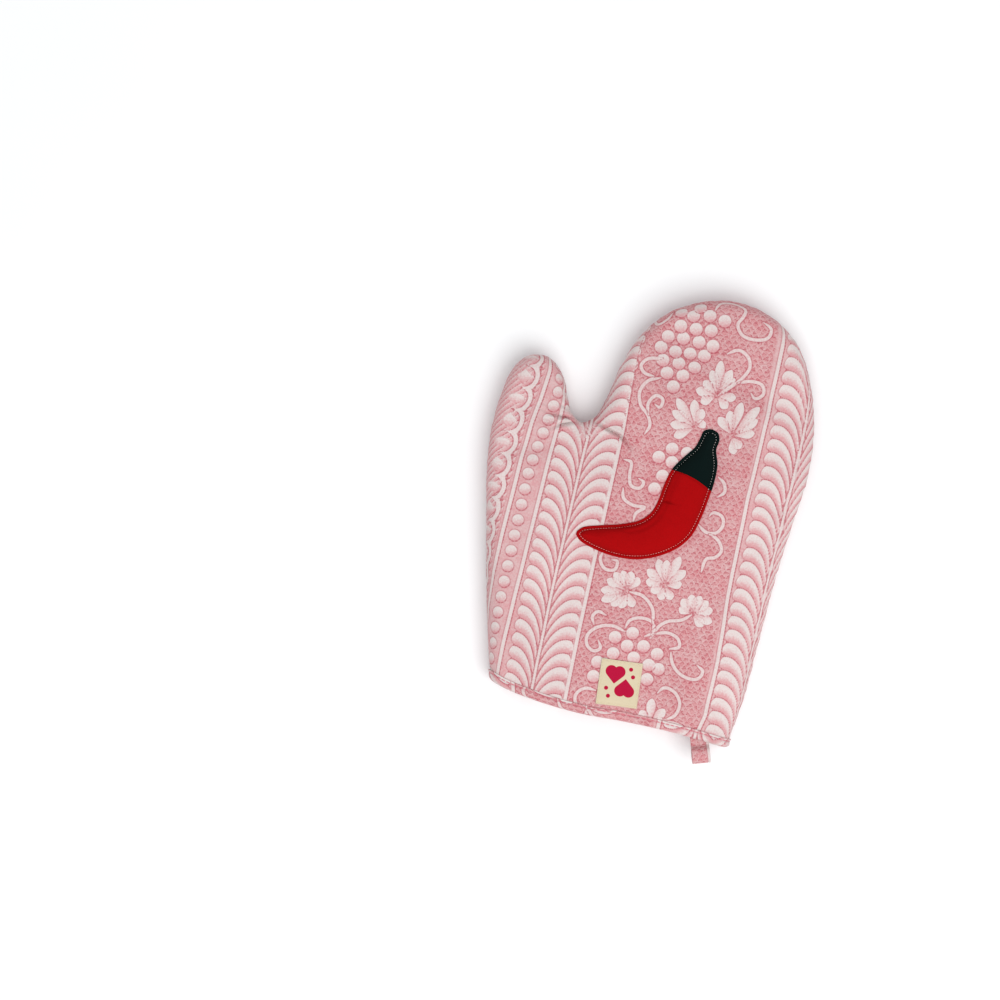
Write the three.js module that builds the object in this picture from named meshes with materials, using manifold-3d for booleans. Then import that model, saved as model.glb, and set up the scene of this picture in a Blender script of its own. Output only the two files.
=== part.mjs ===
// A quilted oven mitt with a padded chilli applique, lying flat with its decorated side up.
// Two quilted panels (printed cotton, wadding, plain lining) are sewn together round the hand
// outline, the cuff is closed with a self-fabric binding, and a hanging loop is caught inside it.
// Units are millimetres. While it is being modelled, +Y runs from the middle of the cuff towards
// the finger tips and z = 0 is the table; the last lines move the origin to the bottom centre.
import * as THREE from "three";
import { mergeVertices } from "three/addons/utils/BufferGeometryUtils.js";
import Module from "manifold-3d";

const wasm = await Module();
wasm.setup();

// Driving dimensions
const HEIGHT = 28; // over both panels, without the applique
const EDGE_RADIUS = 13; // how far in from the side seam the panels reach their full height
const FABRIC = 0.9; // printed cotton, lining and binding
const WADDING = 3.9;
const GAP = 0.3; // between pieces that lie on each other
const SEAM_ALLOWANCE = 4.8; // turned-in edge of the printed cotton
const BINDING_WIDTH = 6;
const BINDING_STITCH = 4.4; // from the cuff edge to the row of stitches
const THREAD = 0.6;
const THREAD_DEPTH = 0.3; // how far the binding's row of stitches sits in its groove
const CUFF_END = -16; // the raw bodies run past the cuff, and are trimmed to its edge
const KNUCKLE_Y = 225; // fold line of the finger part
const THUMB_FOLD = { x: -80.6, y: 197, lean: 30 }; // a point on the thumb's fold line, and its lean
const FOLD_GAP = 0.5; // between the two sides of a fold
const LOOP = {
  x: 65.7, y: -6.1, z: 20.1, lean: 19.5, // where its two ends meet at the cuff
  width: 12.5, length: 12, strap: 1.3, opening: 9.4, sewn: 12.5,
};
const LABEL = { x: 2, y: 22, width: 28, length: 31, turn: 6, thickness: 0.6 };
const LABEL_MARGIN = 3; // from the label's size to that of its row of stitches
const APPLIQUE_FLANGE = 3.4; // flat edge outside the padded middle
const APPLIQUE_STITCH = 2; // from its edge to its row of stitches
const APPLIQUE_RISE = 4.2;

const SEAM_Z = HEIGHT / 2;
const LINING_DEPTH = FABRIC + GAP + WADDING + GAP; // from the outer face to the lining
const PANEL = LINING_DEPTH + FABRIC;

// The sewn outline, from the cuff's thumb side round the thumb and the finger tips to its other side.
const SEWN_OUTLINE = [
  [-80, CUFF_END], [-83, 1], [-92, 30], [-102, 66], [-112, 106], [-120, 140],
  [-123.7, 166], [-123.6, 188], [-119.6, 212], [-112.5, 222], [-103, 225.8], [-93.5, 222.8],
  [-85.6, 214], [-79.6, 202], [-74, 192.4], [-65.5, 188], [-58, 193], [-53.2, 207],
  [-49, 230], [-41.5, 253], [-26, 274], [-3, 287.8], [20, 292.4], [45, 287.2],
  [66, 272.4], [80.5, 248], [90, 218], [93.1, 188], [91.2, 158], [88.8, 118],
  [88, 70], [87.3, 32], [84.6, 5], [84, CUFF_END],
];
const POINTS_PER_SPAN = 2;
const EDGE_STEPS = 2;

// The cuff's edge, seen from above, from the thumb side to the other side.
const CUFF_EDGE = [
  [-110, 8], [-84, 3], [-70, -0.4], [-48, -3], [-20, -4],
  [10, -2.2], [40, -1.4], [62, -2], [84, -3], [110, -3],
];

// The applique's two long edges, both from the pointed end to the stalk.
const CHILLI_INNER = [
  [-49.3, 115.6], [-46, 119.2], [-36, 123], [-22, 127.3], [-10, 133], [-4, 139.5], [-1.2, 148],
  [0.3, 160], [3, 171.8], [9, 182], [14.5, 190], [16.2, 196], [17.6, 202], [21, 204.1],
];
const CHILLI_OUTER = [
  [-49.3, 113.4], [-46, 110.2], [-36, 107], [-20, 105.2], [-4, 107.3], [10, 113.6], [20, 121.5], [26.5, 131],
  [30, 144], [31.8, 158], [32.8, 172], [32, 182], [28.7, 192], [29.3, 198], [27.4, 202.6], [23.4, 204.2],
];
const CAP_EDGE = [[-12, 170], [3, 171.4], [12, 170], [21, 167.8], [32, 163.6], [46, 158]];

const COLOURS = {
  print: 0xe9b3b9, lining: 0xece6dc, wadding: 0xf4f2ec, red: 0xb00a10, green: 0x07231f,
  label: 0xd6c8a6, whiteThread: 0xe6ded8, pinkThread: 0xc9707c,
};
const matt = (color) => new THREE.MeshStandardMaterial({ color, roughness: 0.9, metalness: 0 });
const materials = Object.fromEntries(Object.entries(COLOURS).map(([name, color]) => [name, matt(color)]));

// A smooth curve through hand-chosen points.
function curveThrough(points) {
  const places = points.map(([x, y]) => new THREE.Vector3(x, y, 0));
  return new THREE.CatmullRomCurve3(places, false, "centripetal");
}

const flatten = (places) => places.map((p) => new THREE.Vector2(p.x, p.y));
const smooth = (points, perSpan) => flatten(curveThrough(points).getPoints((points.length - 1) * perSpan));

// Unit vectors that point to the right of travel, which is into the mitt along the sewn outline.
function inwardNormals(line) {
  return line.map((_, i) => {
    if (i === 0) return new THREE.Vector2(1, 0);
    if (i === line.length - 1) return new THREE.Vector2(-1, 0);
    const along = line[i + 1].clone().sub(line[i - 1]).normalize();
    return new THREE.Vector2(along.y, -along.x);
  });
}

const outline = smooth(SEWN_OUTLINE, POINTS_PER_SPAN);
const inward = inwardNormals(outline);
const insetOutline = (distance) => outline.map((p, i) => p.clone().addScaledVector(inward[i], distance));

function geometryFrom(positions, triangles) {
  const geometry = new THREE.BufferGeometry();
  geometry.setAttribute("position", new THREE.Float32BufferAttribute(positions, 3));
  geometry.setIndex(triangles);
  return geometry;
}

// A closed three.js geometry as a solid that can be joined and cut.
function solid(geometry) {
  const bare = geometry.clone();
  bare.deleteAttribute("normal");
  bare.deleteAttribute("uv");
  const merged = mergeVertices(bare, 1e-4);
  const mesh = new wasm.Mesh({
    numProp: 3,
    vertProperties: new Float32Array(merged.attributes.position.array),
    triVerts: new Uint32Array(merged.index.array),
  });
  return new wasm.Manifold(mesh);
}

function geometryOf(body) {
  const mesh = body.getMesh();
  const geometry = geometryFrom(Array.from(mesh.vertProperties), Array.from(mesh.triVerts)).toNonIndexed();
  geometry.computeVertexNormals();
  return geometry;
}

function node(name, body, material) {
  const mesh = new THREE.Mesh(geometryOf(body), material);
  mesh.name = name;
  return mesh;
}

// Triangles that fill a flat outline, turning anticlockwise in its own two coordinates.
function fill(points) {
  return THREE.ShapeUtils.triangulateShape(points, []).map(([a, b, c]) => {
    const area = points[b].clone().sub(points[a]).cross(points[c].clone().sub(points[a]));
    return area > 0 ? [a, b, c] : [a, c, b];
  });
}

// The whole mitt's outer form moved inwards by depth, as one solid body crowned on both faces.
function mittBody(depth) {
  const across = EDGE_RADIUS - depth;
  const up = SEAM_Z - depth;
  const count = outline.length;
  const endY = CUFF_END - 1 - depth; // inner bodies run further out of the cuff than outer ones
  const positions = [];
  const triangles = [];
  const rows = [];
  for (let step = -EDGE_STEPS; step <= EDGE_STEPS; step++) {
    const angle = (step / EDGE_STEPS) * (Math.PI / 2);
    rows.push(positions.length / 3);
    insetOutline(EDGE_RADIUS - across * Math.cos(angle)).forEach((p, i) => {
      const y = i === 0 || i === count - 1 ? endY : p.y;
      positions.push(p.x, y, SEAM_Z + up * Math.sin(angle));
    });
  }
  for (let row = 0; row < rows.length - 1; row++) {
    for (let i = 0; i < count - 1; i++) {
      const [a, b, c, d] = [rows[row] + i, rows[row] + i + 1, rows[row + 1] + i, rows[row + 1] + i + 1];
      triangles.push(a, c, b, b, c, d);
    }
  }
  const top = rows[rows.length - 1];
  const flat = insetOutline(EDGE_RADIUS);
  flat[0].y = endY;
  flat[count - 1].y = endY;
  for (const [a, b, c] of fill(flat)) {
    triangles.push(top + a, top + b, top + c);
    triangles.push(a, c, b);
  }
  const end = [...rows, ...rows.map((row) => row + count - 1).reverse()];
  const endFace = end.map((i) => new THREE.Vector2(positions[3 * i], positions[3 * i + 2]));
  for (const [a, b, c] of fill(endFace)) triangles.push(end[a], end[b], end[c]);
  return solid(geometryFrom(positions, triangles));
}

// A flat outline, with or without a hole, raised from low to high.
function prism(points, low, high, hole) {
  const shape = new THREE.Shape(points);
  if (hole) shape.holes.push(new THREE.Path(hole));
  return new THREE.ExtrudeGeometry(shape, { depth: high - low, bevelEnabled: false }).translate(0, 0, low);
}

const ALL = 400; // larger than the mitt in every direction

// Everything on the open side of a line that runs beside the cuff's edge, distance mm into the mitt.
function cuffRegion(distance) {
  const edge = smooth(CUFF_EDGE, 1).map((p) => p.add(new THREE.Vector2(0, distance)));
  const [first, last] = [edge[0], edge[edge.length - 1]];
  const corners = [new THREE.Vector2(last.x + 40, last.y), new THREE.Vector2(last.x + 40, -ALL)];
  const others = [new THREE.Vector2(first.x - 40, -ALL), new THREE.Vector2(first.x - 40, first.y)];
  return solid(prism([...edge, ...corners, ...others], -ALL, ALL));
}

// Everything beyond a fold line: its direction is the way out of the palm, turned from +Y.
function beyond(x, y, turn, gap) {
  const block = new THREE.BoxGeometry(2 * ALL, ALL, ALL).translate(0, ALL / 2 + gap, 0);
  return solid(block.rotateZ(turn).translate(x, y, 0));
}

const fingerFold = (gap) => beyond(0, KNUCKLE_Y, 0, gap);
const thumbTurn = THREE.MathUtils.degToRad(90 - THUMB_FOLD.lean);
const thumbFold = (gap) => beyond(THUMB_FOLD.x, THUMB_FOLD.y, thumbTurn, gap);

// One layer of both panels, from one depth below the outer face to another.
const layer = (from, to) => mittBody(from).subtract(mittBody(to));

// The halves of a layer, on either side of the side seam.
function half(body, side) {
  const block = new THREE.BoxGeometry(2 * ALL, 2 * ALL, ALL).translate(0, 0, side * (ALL / 2 + GAP / 2));
  return body.intersect(solid(block.translate(0, 0, SEAM_Z)));
}

// The turned-in edge of a panel's printed cotton, lying against the seam, larger by grow on each side.
function seamAllowance(side, grow) {
  const outer = insetOutline(FABRIC / 2 - grow);
  const inner = insetOutline(SEAM_ALLOWANCE + grow).reverse();
  const [near, far] = [GAP / 2 - grow, GAP / 2 + FABRIC + grow].map((z) => SEAM_Z + side * z);
  return solid(prism([...outer, ...inner], Math.min(near, far), Math.max(near, far)));
}

const bodies = {
  palm: new THREE.Group(),
  fingers: new THREE.Group(),
  thumb: new THREE.Group(),
  loop: new THREE.Group(),
};

// A panel's layer is one sheet on the real mitt. It is cut at the fold lines, so that the bodies can turn.
function addPanel(name, body, material) {
  const fingers = body.intersect(fingerFold(FOLD_GAP / 2)).subtract(thumbFold(0));
  const thumb = body.intersect(thumbFold(FOLD_GAP / 2));
  const palm = body.subtract(fingerFold(-FOLD_GAP / 2)).subtract(thumbFold(-FOLD_GAP / 2));
  bodies.palm.add(node(`${name}_palm`, palm, material));
  bodies.fingers.add(node(`${name}_fingers`, fingers, material));
  bodies.thumb.add(node(`${name}_thumb`, thumb, material));
}

function addQuiltedPanels() {
  const open = cuffRegion(BINDING_WIDTH + GAP);
  const cover = layer(0, FABRIC);
  const lining = layer(LINING_DEPTH, PANEL).subtract(open);
  const wadding = layer(FABRIC + GAP, LINING_DEPTH - GAP).subtract(cuffRegion(FABRIC + GAP));
  for (const [name, side] of [["front", 1], ["back", -1]]) {
    const turned = seamAllowance(side, 0);
    addPanel(`${name}_cover`, half(cover, side).add(turned).subtract(open), materials.print);
    addPanel(`${name}_wadding`, half(wadding, side).subtract(seamAllowance(side, GAP)), materials.wadding);
    addPanel(`${name}_lining`, half(lining, side), materials.lining);
  }
}

// The binding folds round the cuff's edge, with the wadding inside it and its stitches in a groove.
function addBinding() {
  const band = cuffRegion(BINDING_WIDTH).subtract(cuffRegion(0));
  const upTo = (distance) => cuffRegion(BINDING_STITCH + distance);
  const row = (grow) => upTo(THREAD / 2 + grow).subtract(upTo(-THREAD / 2 - grow));
  const inside = layer(FABRIC, LINING_DEPTH).subtract(cuffRegion(FABRIC));
  const groove = layer(-1, THREAD_DEPTH + GAP).intersect(row(GAP));
  const binding = layer(0, PANEL).intersect(band).subtract(inside).subtract(groove);
  bodies.palm.add(node("cuff_binding", binding, materials.print));
  const thread = layer(0, THREAD_DEPTH).intersect(row(0));
  bodies.palm.add(node("cuff_binding_stitching", thread, materials.pinkThread));
}

// A closed outline moved inwards; it runs anticlockwise, so inwards is to the left of travel.
function inset(closed, distance) {
  const count = closed.length;
  return closed.map((p, i) => {
    const before = closed[(i + count - 1) % count];
    const along = closed[(i + 1) % count].clone().sub(before).normalize();
    return p.clone().add(new THREE.Vector2(-along.y, along.x).multiplyScalar(distance));
  });
}

const CHILLI_STATIONS = 18;
const CHILLI_COLUMNS = [0.02, 0.14, 0.31, 0.5, 0.69, 0.86, 0.98]; // between its two outermost ones
const chilliEdge = (points) => flatten(curveThrough(points).getSpacedPoints(CHILLI_STATIONS));
const chilliInner = chilliEdge(CHILLI_INNER);
const chilliOuter = chilliEdge(CHILLI_OUTER);

// How far across a row of the chilli each column lies, from 0 at its outer edge to 1 at the inner one.
function chilliColumns(width, edge) {
  const padded = width - 2 * APPLIQUE_FLANGE;
  const whole = edge > 0 || padded < 1;
  const start = whole ? edge : APPLIQUE_FLANGE;
  const span = whole ? width - 2 * edge : padded;
  const inner = CHILLI_COLUMNS.map((share) => start + share * span);
  return [edge, ...inner, width - edge].map((distance) => distance / width);
}

// The chilli as rows across it, flat below, and crowned above inside its flat flange. A body of thickness
// thick at its rim, moved in from the chilli's edge by edge, rises by rise in the middle.
function chilliBody(edge, bottom, thick, rise) {
  const lower = [];
  const upper = [];
  chilliInner.forEach((a, i) => {
    const b = chilliOuter[i];
    const width = a.distanceTo(b);
    const end = Math.min(i, CHILLI_STATIONS - i);
    if (edge > 0 && (width < 2 * edge + 2 || end < 1)) return;
    const padded = Math.max(width - 2 * APPLIQUE_FLANGE, 0.1);
    const crown = rise * THREE.MathUtils.clamp(Math.min(padded / 14, (end - 1.5) / 2), 0, 1);
    for (const share of chilliColumns(width, edge)) {
      const p = b.clone().lerp(a, share);
      const across = THREE.MathUtils.clamp((share * width - APPLIQUE_FLANGE) / padded, 0, 1);
      lower.push(p.x, p.y, bottom);
      upper.push(p.x, p.y, HEIGHT + GAP + thick + crown * Math.sin(Math.PI * across));
    }
  });
  return closedGrid(lower, upper, CHILLI_COLUMNS.length + 2);
}

// A solid between two grids of points that have the same rows, each row of the given number of columns.
function closedGrid(lower, upper, columns) {
  const count = lower.length / 3;
  const rows = count / columns;
  const triangles = [];
  const quad = (a, b, c, d) => triangles.push(a, b, c, a, c, d);
  for (let row = 0; row < rows - 1; row++) {
    for (let k = 0; k < columns - 1; k++) {
      const a = row * columns + k;
      const [b, c, d] = [a + columns, a + columns + 1, a + 1];
      quad(a, d, c, b);
      quad(count + a, count + b, count + c, count + d);
    }
  }
  const rim = [];
  for (let row = 0; row < rows; row++) rim.push(row * columns);
  for (let k = 1; k < columns; k++) rim.push((rows - 1) * columns + k);
  for (let row = rows - 2; row >= 0; row--) rim.push(row * columns + columns - 1);
  for (let k = columns - 2; k > 0; k--) rim.push(k);
  rim.forEach((a, i) => {
    const b = rim[(i + 1) % rim.length];
    quad(a, b, count + b, count + a);
  });
  return solid(geometryFrom([...lower, ...upper], triangles));
}

// The padded applique: a red pod and a green cap over one piece of wadding, sewn down just inside the edge.
function addApplique() {
  const low = HEIGHT + GAP;
  const paddingRise = APPLIQUE_RISE - FABRIC / 2;
  const cavity = chilliBody(APPLIQUE_FLANGE - GAP, HEIGHT - 1, FABRIC / 2, paddingRise);
  const skin = chilliBody(0, low, FABRIC, APPLIQUE_RISE).subtract(cavity);
  const join = smooth(CAP_EDGE, 3);
  const corners = [new THREE.Vector2(60, 230), new THREE.Vector2(-20, 230)]; // beyond the stalk
  const moved = (gap) => join.map((p) => p.clone().add(new THREE.Vector2(0, gap)));
  const capSide = (gap) => solid(prism([...moved(gap), ...corners], 0, ALL));
  bodies.palm.add(node("applique_pod", skin.subtract(capSide(-GAP)), materials.red));
  bodies.palm.add(node("applique_cap", skin.intersect(capSide(0)), materials.green));
  const padding = chilliBody(APPLIQUE_FLANGE, low, FABRIC / 2 - GAP, paddingRise);
  bodies.palm.add(node("applique_wadding", padding, materials.wadding));
  const edge = [...chilliOuter.slice(1, -1), ...chilliInner.slice(1, -1).reverse()];
  const above = low + FABRIC + GAP;
  const row = inset(edge, APPLIQUE_STITCH);
  const thread = prism(row, above, above + THREAD, inset(edge, APPLIQUE_STITCH + THREAD));
  bodies.palm.add(node("applique_stitching", solid(thread), materials.whiteThread));
}

function rectangle(width, length) {
  const [x, y] = [width / 2, length / 2];
  return [[-x, -y], [x, -y], [x, y], [-x, y]].map(([px, py]) => new THREE.Vector2(px, py));
}

function addLabel() {
  const turn = THREE.MathUtils.degToRad(LABEL.turn);
  const place = (geometry) => geometry.rotateZ(turn).translate(LABEL.x, LABEL.y, 0);
  const low = HEIGHT + GAP;
  const top = low + LABEL.thickness;
  const patch = place(prism(rectangle(LABEL.width, LABEL.length), low, top));
  const frame = (margin) => rectangle(LABEL.width - margin, LABEL.length - margin);
  const outer = frame(LABEL_MARGIN);
  const inner = frame(LABEL_MARGIN + 2 * THREAD);
  const thread = place(prism(outer, top + GAP, top + GAP + THREAD / 2, inner));
  bodies.palm.add(node("label", solid(patch), materials.label));
  bodies.palm.add(node("label_stitching", solid(thread), materials.label));
}

// Turns an outline drawn as (way out of the cuff, height) into a strap of the loop's width, at its place.
function strap(shape) {
  const settings = { depth: LOOP.width, bevelEnabled: false, curveSegments: 8 };
  const geometry = new THREE.ExtrudeGeometry(shape, settings);
  geometry.translate(0, 0, -LOOP.width / 2);
  const axes = [new THREE.Vector3(0, -1, 0), new THREE.Vector3(0, 0, 1), new THREE.Vector3(-1, 0, 0)];
  geometry.applyMatrix4(new THREE.Matrix4().makeBasis(...axes));
  return geometry.rotateZ(THREE.MathUtils.degToRad(LOOP.lean)).translate(LOOP.x, LOOP.y, LOOP.z);
}

// The loop's two ends lie together inside the front of the cuff, and its free part swings at their edge.
function addLoop() {
  const root = LOOP.strap;
  const bend = LOOP.opening / 2 + LOOP.strap;
  const centre = LOOP.length - bend;
  const spread = Math.PI / 2 + Math.asin((bend - root) / centre);
  const drop = new THREE.Shape();
  drop.absarc(0, 0, root, spread, 2 * Math.PI - spread, false);
  drop.absarc(centre, 0, bend, -spread, spread, false);
  drop.closePath();
  const hole = new THREE.Path();
  hole.moveTo(0, 0);
  hole.absarc(centre, 0, LOOP.opening / 2, -spread, spread, false);
  hole.closePath();
  drop.holes.push(hole);
  bodies.loop.add(node("hanging_loop", solid(strap(drop)), materials.print));
  const end = -(root + 1.5 * GAP);
  const tail = [[end - LOOP.sewn, -root], [end, -root], [end, root], [end - LOOP.sewn, root]];
  const ends = new THREE.Shape(tail.map(([x, y]) => new THREE.Vector2(x, y)));
  bodies.palm.add(node("hanging_loop_sewn_ends", solid(strap(ends)), materials.print));
}

addQuiltedPanels();
addBinding();
addApplique();
addLabel();
addLoop();

const mitt = new THREE.Group();
mitt.add(...Object.values(bodies));
const box = new THREE.Box3().setFromObject(mitt);
const centre = box.getCenter(new THREE.Vector3());
mitt.position.set(-centre.x, -centre.y, -box.min.z);

export default mitt;
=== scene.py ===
"""Looks of a quilted oven mitt: printed cotton covers over wadding, a bound cuff, a padded chilli applique,
a label and a hanging loop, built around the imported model. Plans are drawn in millimetres with +Y from the
middle of the cuff to the finger tips, and are moved to the row frame, in metres, as each mesh is made."""
import math

import bpy
import numpy as np
from mathutils import Matrix, Vector
from mathutils.geometry import delaunay_2d_cdt
from mathutils.kdtree import KDTree


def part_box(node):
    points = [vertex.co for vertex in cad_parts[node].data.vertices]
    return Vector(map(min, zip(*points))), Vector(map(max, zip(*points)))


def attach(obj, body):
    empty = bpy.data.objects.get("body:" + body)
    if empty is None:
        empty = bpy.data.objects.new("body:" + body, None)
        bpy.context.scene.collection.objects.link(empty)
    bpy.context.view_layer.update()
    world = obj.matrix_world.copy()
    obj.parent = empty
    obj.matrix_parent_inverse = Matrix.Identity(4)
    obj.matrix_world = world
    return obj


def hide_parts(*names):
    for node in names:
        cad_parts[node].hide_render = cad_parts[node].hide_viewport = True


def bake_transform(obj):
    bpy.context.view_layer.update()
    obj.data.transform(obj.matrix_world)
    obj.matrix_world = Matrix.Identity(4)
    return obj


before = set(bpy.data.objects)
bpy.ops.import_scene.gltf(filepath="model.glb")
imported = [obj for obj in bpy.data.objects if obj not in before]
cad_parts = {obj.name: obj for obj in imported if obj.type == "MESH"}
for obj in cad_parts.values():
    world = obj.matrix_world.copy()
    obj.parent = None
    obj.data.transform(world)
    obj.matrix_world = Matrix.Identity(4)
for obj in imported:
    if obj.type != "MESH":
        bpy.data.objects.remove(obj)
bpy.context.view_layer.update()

bl_info = {
    "name": "Quilted oven mitt",
    "version": (1, 0, 0),
    "blender": (4, 5, 0),
    "location": "View3D > Sidebar > Oven mitt",
    "description": "Builds the fabric, wadding, stitching and applique of a quilted oven mitt",
    "category": "Add Mesh",
}

MM = 0.001

# Plan of the mitt, in millimetres
SEAM_Z = 14.0  # height of the side seam
COVER_DEPTHS = (0.0, 0.9)  # how far each layer's two faces lie below the outside of its panel
WADDING_DEPTHS = (1.25, 5.05)
LINING_DEPTHS = (5.45, 6.3)
CUFF_START = 5.2  # where the covers and the lining start, inside the binding
WADDING_START = 1.8
EDGE_RADIUS = 11.0  # how far in from the side seam the covers lie flat
SEWN_OUTLINE = (
    (-80, -16), (-83, 1), (-92, 30), (-102, 66), (-112, 106), (-120, 140), (-123.7, 166), (-123.6, 188),
    (-119.6, 212), (-112.5, 222), (-103, 225.8), (-92.8, 223.0), (-84.4, 214.4), (-78.4, 202.4),
    (-73.6, 192.6), (-65.5, 188), (-58, 193), (-53.2, 207), (-49, 230), (-41.5, 253), (-26, 274),
    (-3, 287.8), (20, 292.4), (45, 287.2), (66, 272.4), (80.5, 248), (90, 218), (93.1, 188), (91.2, 158),
    (88.8, 118), (88, 70), (87.3, 32), (84.6, 5), (84, -16),
)
CUFF_EDGE = (
    (-110, 8), (-84, 3), (-70, -0.4), (-48, -3), (-20, -4), (10, -2.2), (40, -1.4), (62, -2), (84, -3),
    (110, -3),
)
CROTCH = (-65.0, 188.0)
THUMB_CUT = (-111.0, 108.0)  # where the line between palm and thumb pieces meets the thumb's outer edge
LABEL_AT = (2.0, 22.0)
LABEL_SIZE = (28.0, 31.0)
LABEL_TURN = math.radians(6.0)
CHILLI_INNER = (
    (-49.3, 115.6), (-46, 119.2), (-36, 123), (-22, 127.3), (-10, 133), (-4, 139.5), (-1.2, 148),
    (0.3, 160), (3, 171.8), (9, 182), (14.5, 190), (16.2, 196), (17.6, 202), (21, 204.1),
)
CHILLI_OUTER = (
    (-49.3, 113.4), (-46, 110.2), (-36, 107), (-20, 105.2), (-4, 107.3), (10, 113.6), (20, 121.5),
    (26.5, 131), (30, 144), (31.8, 158), (32.8, 172), (32, 182), (28.7, 192), (29.3, 198), (27.4, 202.6),
    (23.4, 204.2),
)
CHILLI_MOVE = np.array((-1.4, -0.7))  # how far the sewn-down chilli sits from where it was laid
CAP_EDGE = np.array(((3, 171.4), (12, 170.6), (21, 168.0), (32.2, 163.5))) + CHILLI_MOVE
CHILLI_STITCH = 2.3  # how far in from its rim the chilli is sewn down
BINDING_STITCH = 4.4  # how far in from the cuff's edge the binding is sewn down
LOOP_PIVOT = (65.7, -6.1, 20.1)
LOOP_LEAN = math.radians(19.5)
LOOP_WIDTH = 12.5

# What the camera sees: the width in metres at the seam's height, the plan's middle in mm, and the way up
FRAME_WIDTH = 0.68
FRAME_CENTRE = (-106.3, 122.8)
FRAME_UP = (-0.242, 0.970, 0.0)

_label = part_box("label")
SHIFT = (_label[0] + _label[1]) / 2 / MM - Vector((*LABEL_AT, 0))
SHIFT.z = 0.0  # the row frame's own table is at height 0


def row(x, y, z):
    """A plan point in the row frame, in metres."""
    return (Vector((x, y, z)) + SHIFT) * MM


# ---------------------------------------------------------------- curves

def curve_through(points, step, closed=False):
    """Evenly spaced points, about step apart, on a smooth curve through given ones."""
    p = np.array(points, float)
    if closed:
        p = np.vstack([p[-1], p, p[0], p[1]])
    else:
        p = np.vstack([2 * p[0] - p[1], p, 2 * p[-1] - p[-2]])
    fine = []
    for a, b, c, d in zip(p, p[1:], p[2:], p[3:]):
        t1 = np.linalg.norm(b - a) ** 0.5
        t2 = t1 + np.linalg.norm(c - b) ** 0.5
        t3 = t2 + np.linalg.norm(d - c) ** 0.5
        t = np.linspace(t1, t2, 24, endpoint=False)[:, None]
        ab = (t1 - t) / t1 * a + t / t1 * b
        bc = (t2 - t) / (t2 - t1) * b + (t - t1) / (t2 - t1) * c
        cd = (t3 - t) / (t3 - t2) * c + (t - t2) / (t3 - t2) * d
        abc = (t2 - t) / t2 * ab + t / t2 * bc
        bcd = (t3 - t) / (t3 - t1) * bc + (t - t1) / (t3 - t1) * cd
        fine.append((t2 - t) / (t2 - t1) * abc + (t - t1) / (t2 - t1) * bcd)
    fine = np.vstack([*fine, p[-2]])
    return evenly(fine, step)


def lengths(path):
    """Distance along a path to each of its points."""
    return np.concatenate([[0], np.cumsum(np.linalg.norm(np.diff(path, axis=0), axis=1))])


def evenly(path, step=None, count=None):
    """A path as evenly spaced points, either about step apart or count in all."""
    along = lengths(path)
    count = count or max(2, int(round(along[-1] / step)) + 1)
    at = np.linspace(0, along[-1], count)
    return np.stack([np.interp(at, along, path[:, k]) for k in range(path.shape[1])], axis=1)


def to_path(points, path):
    """For each point, its distance to a path, and how far along the path the nearest place is."""
    best = np.full(len(points), 1e9)
    where = np.zeros(len(points))
    along = lengths(path)
    for a, b, start in zip(path[:-1], path[1:], along):
        way = b - a
        size = np.linalg.norm(way)
        share = np.clip((points - a) @ way / size**2, 0, 1)
        gap = np.linalg.norm(points - a - share[:, None] * way, axis=1)
        near = gap < best
        best[near] = gap[near]
        where[near] = start + share[near] * size
    return best, where


def smoothstep(low, high, value):
    """0 up to low, 1 from high, and smooth between them."""
    t = np.clip((value - low) / (high - low), 0, 1)
    return t * t * (3 - 2 * t)


_cuff = curve_through(CUFF_EDGE, 1.0)
_outline = curve_through(SEWN_OUTLINE, 0.25)
_chilli_rim = np.vstack([curve_through(CHILLI_OUTER, 1.0), curve_through(CHILLI_INNER, 1.0)[::-1]])
_chilli_rim = np.vstack([_chilli_rim, _chilli_rim[:1]]) + CHILLI_MOVE


def cuff_y(x):
    """How far up the plan the cuff's edge lies, across the mitt."""
    return np.interp(x, _cuff[:, 0], _cuff[:, 1])


def outline_from(start, count):
    """The sewn outline from start mm inside the cuff's edge, and its inward normals, as count points."""
    inside = _outline[_outline[:, 1] > cuff_y(_outline[:, 0]) + start]
    points = evenly(inside, count=count)
    along = np.gradient(points, axis=0)
    along /= np.linalg.norm(along, axis=1)[:, None]
    return points, np.stack([along[:, 1], -along[:, 0]], axis=1)


def inside_of(points, polygon):
    """Which points lie inside a closed polygon, by counting the edges crossed."""
    found = np.zeros(len(points), bool)
    for a, b in zip(polygon, np.roll(polygon, -1, axis=0)):
        if a[1] == b[1]:
            continue
        between = (points[:, 1] >= min(a[1], b[1])) & (points[:, 1] < max(a[1], b[1]))
        crossing = a[0] + (points[between, 1] - a[1]) / (b[1] - a[1]) * (b[0] - a[0])
        found[between] ^= points[between, 0] < crossing
    return found


# ---------------------------------------------------------------- relief of the padded panels

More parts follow.
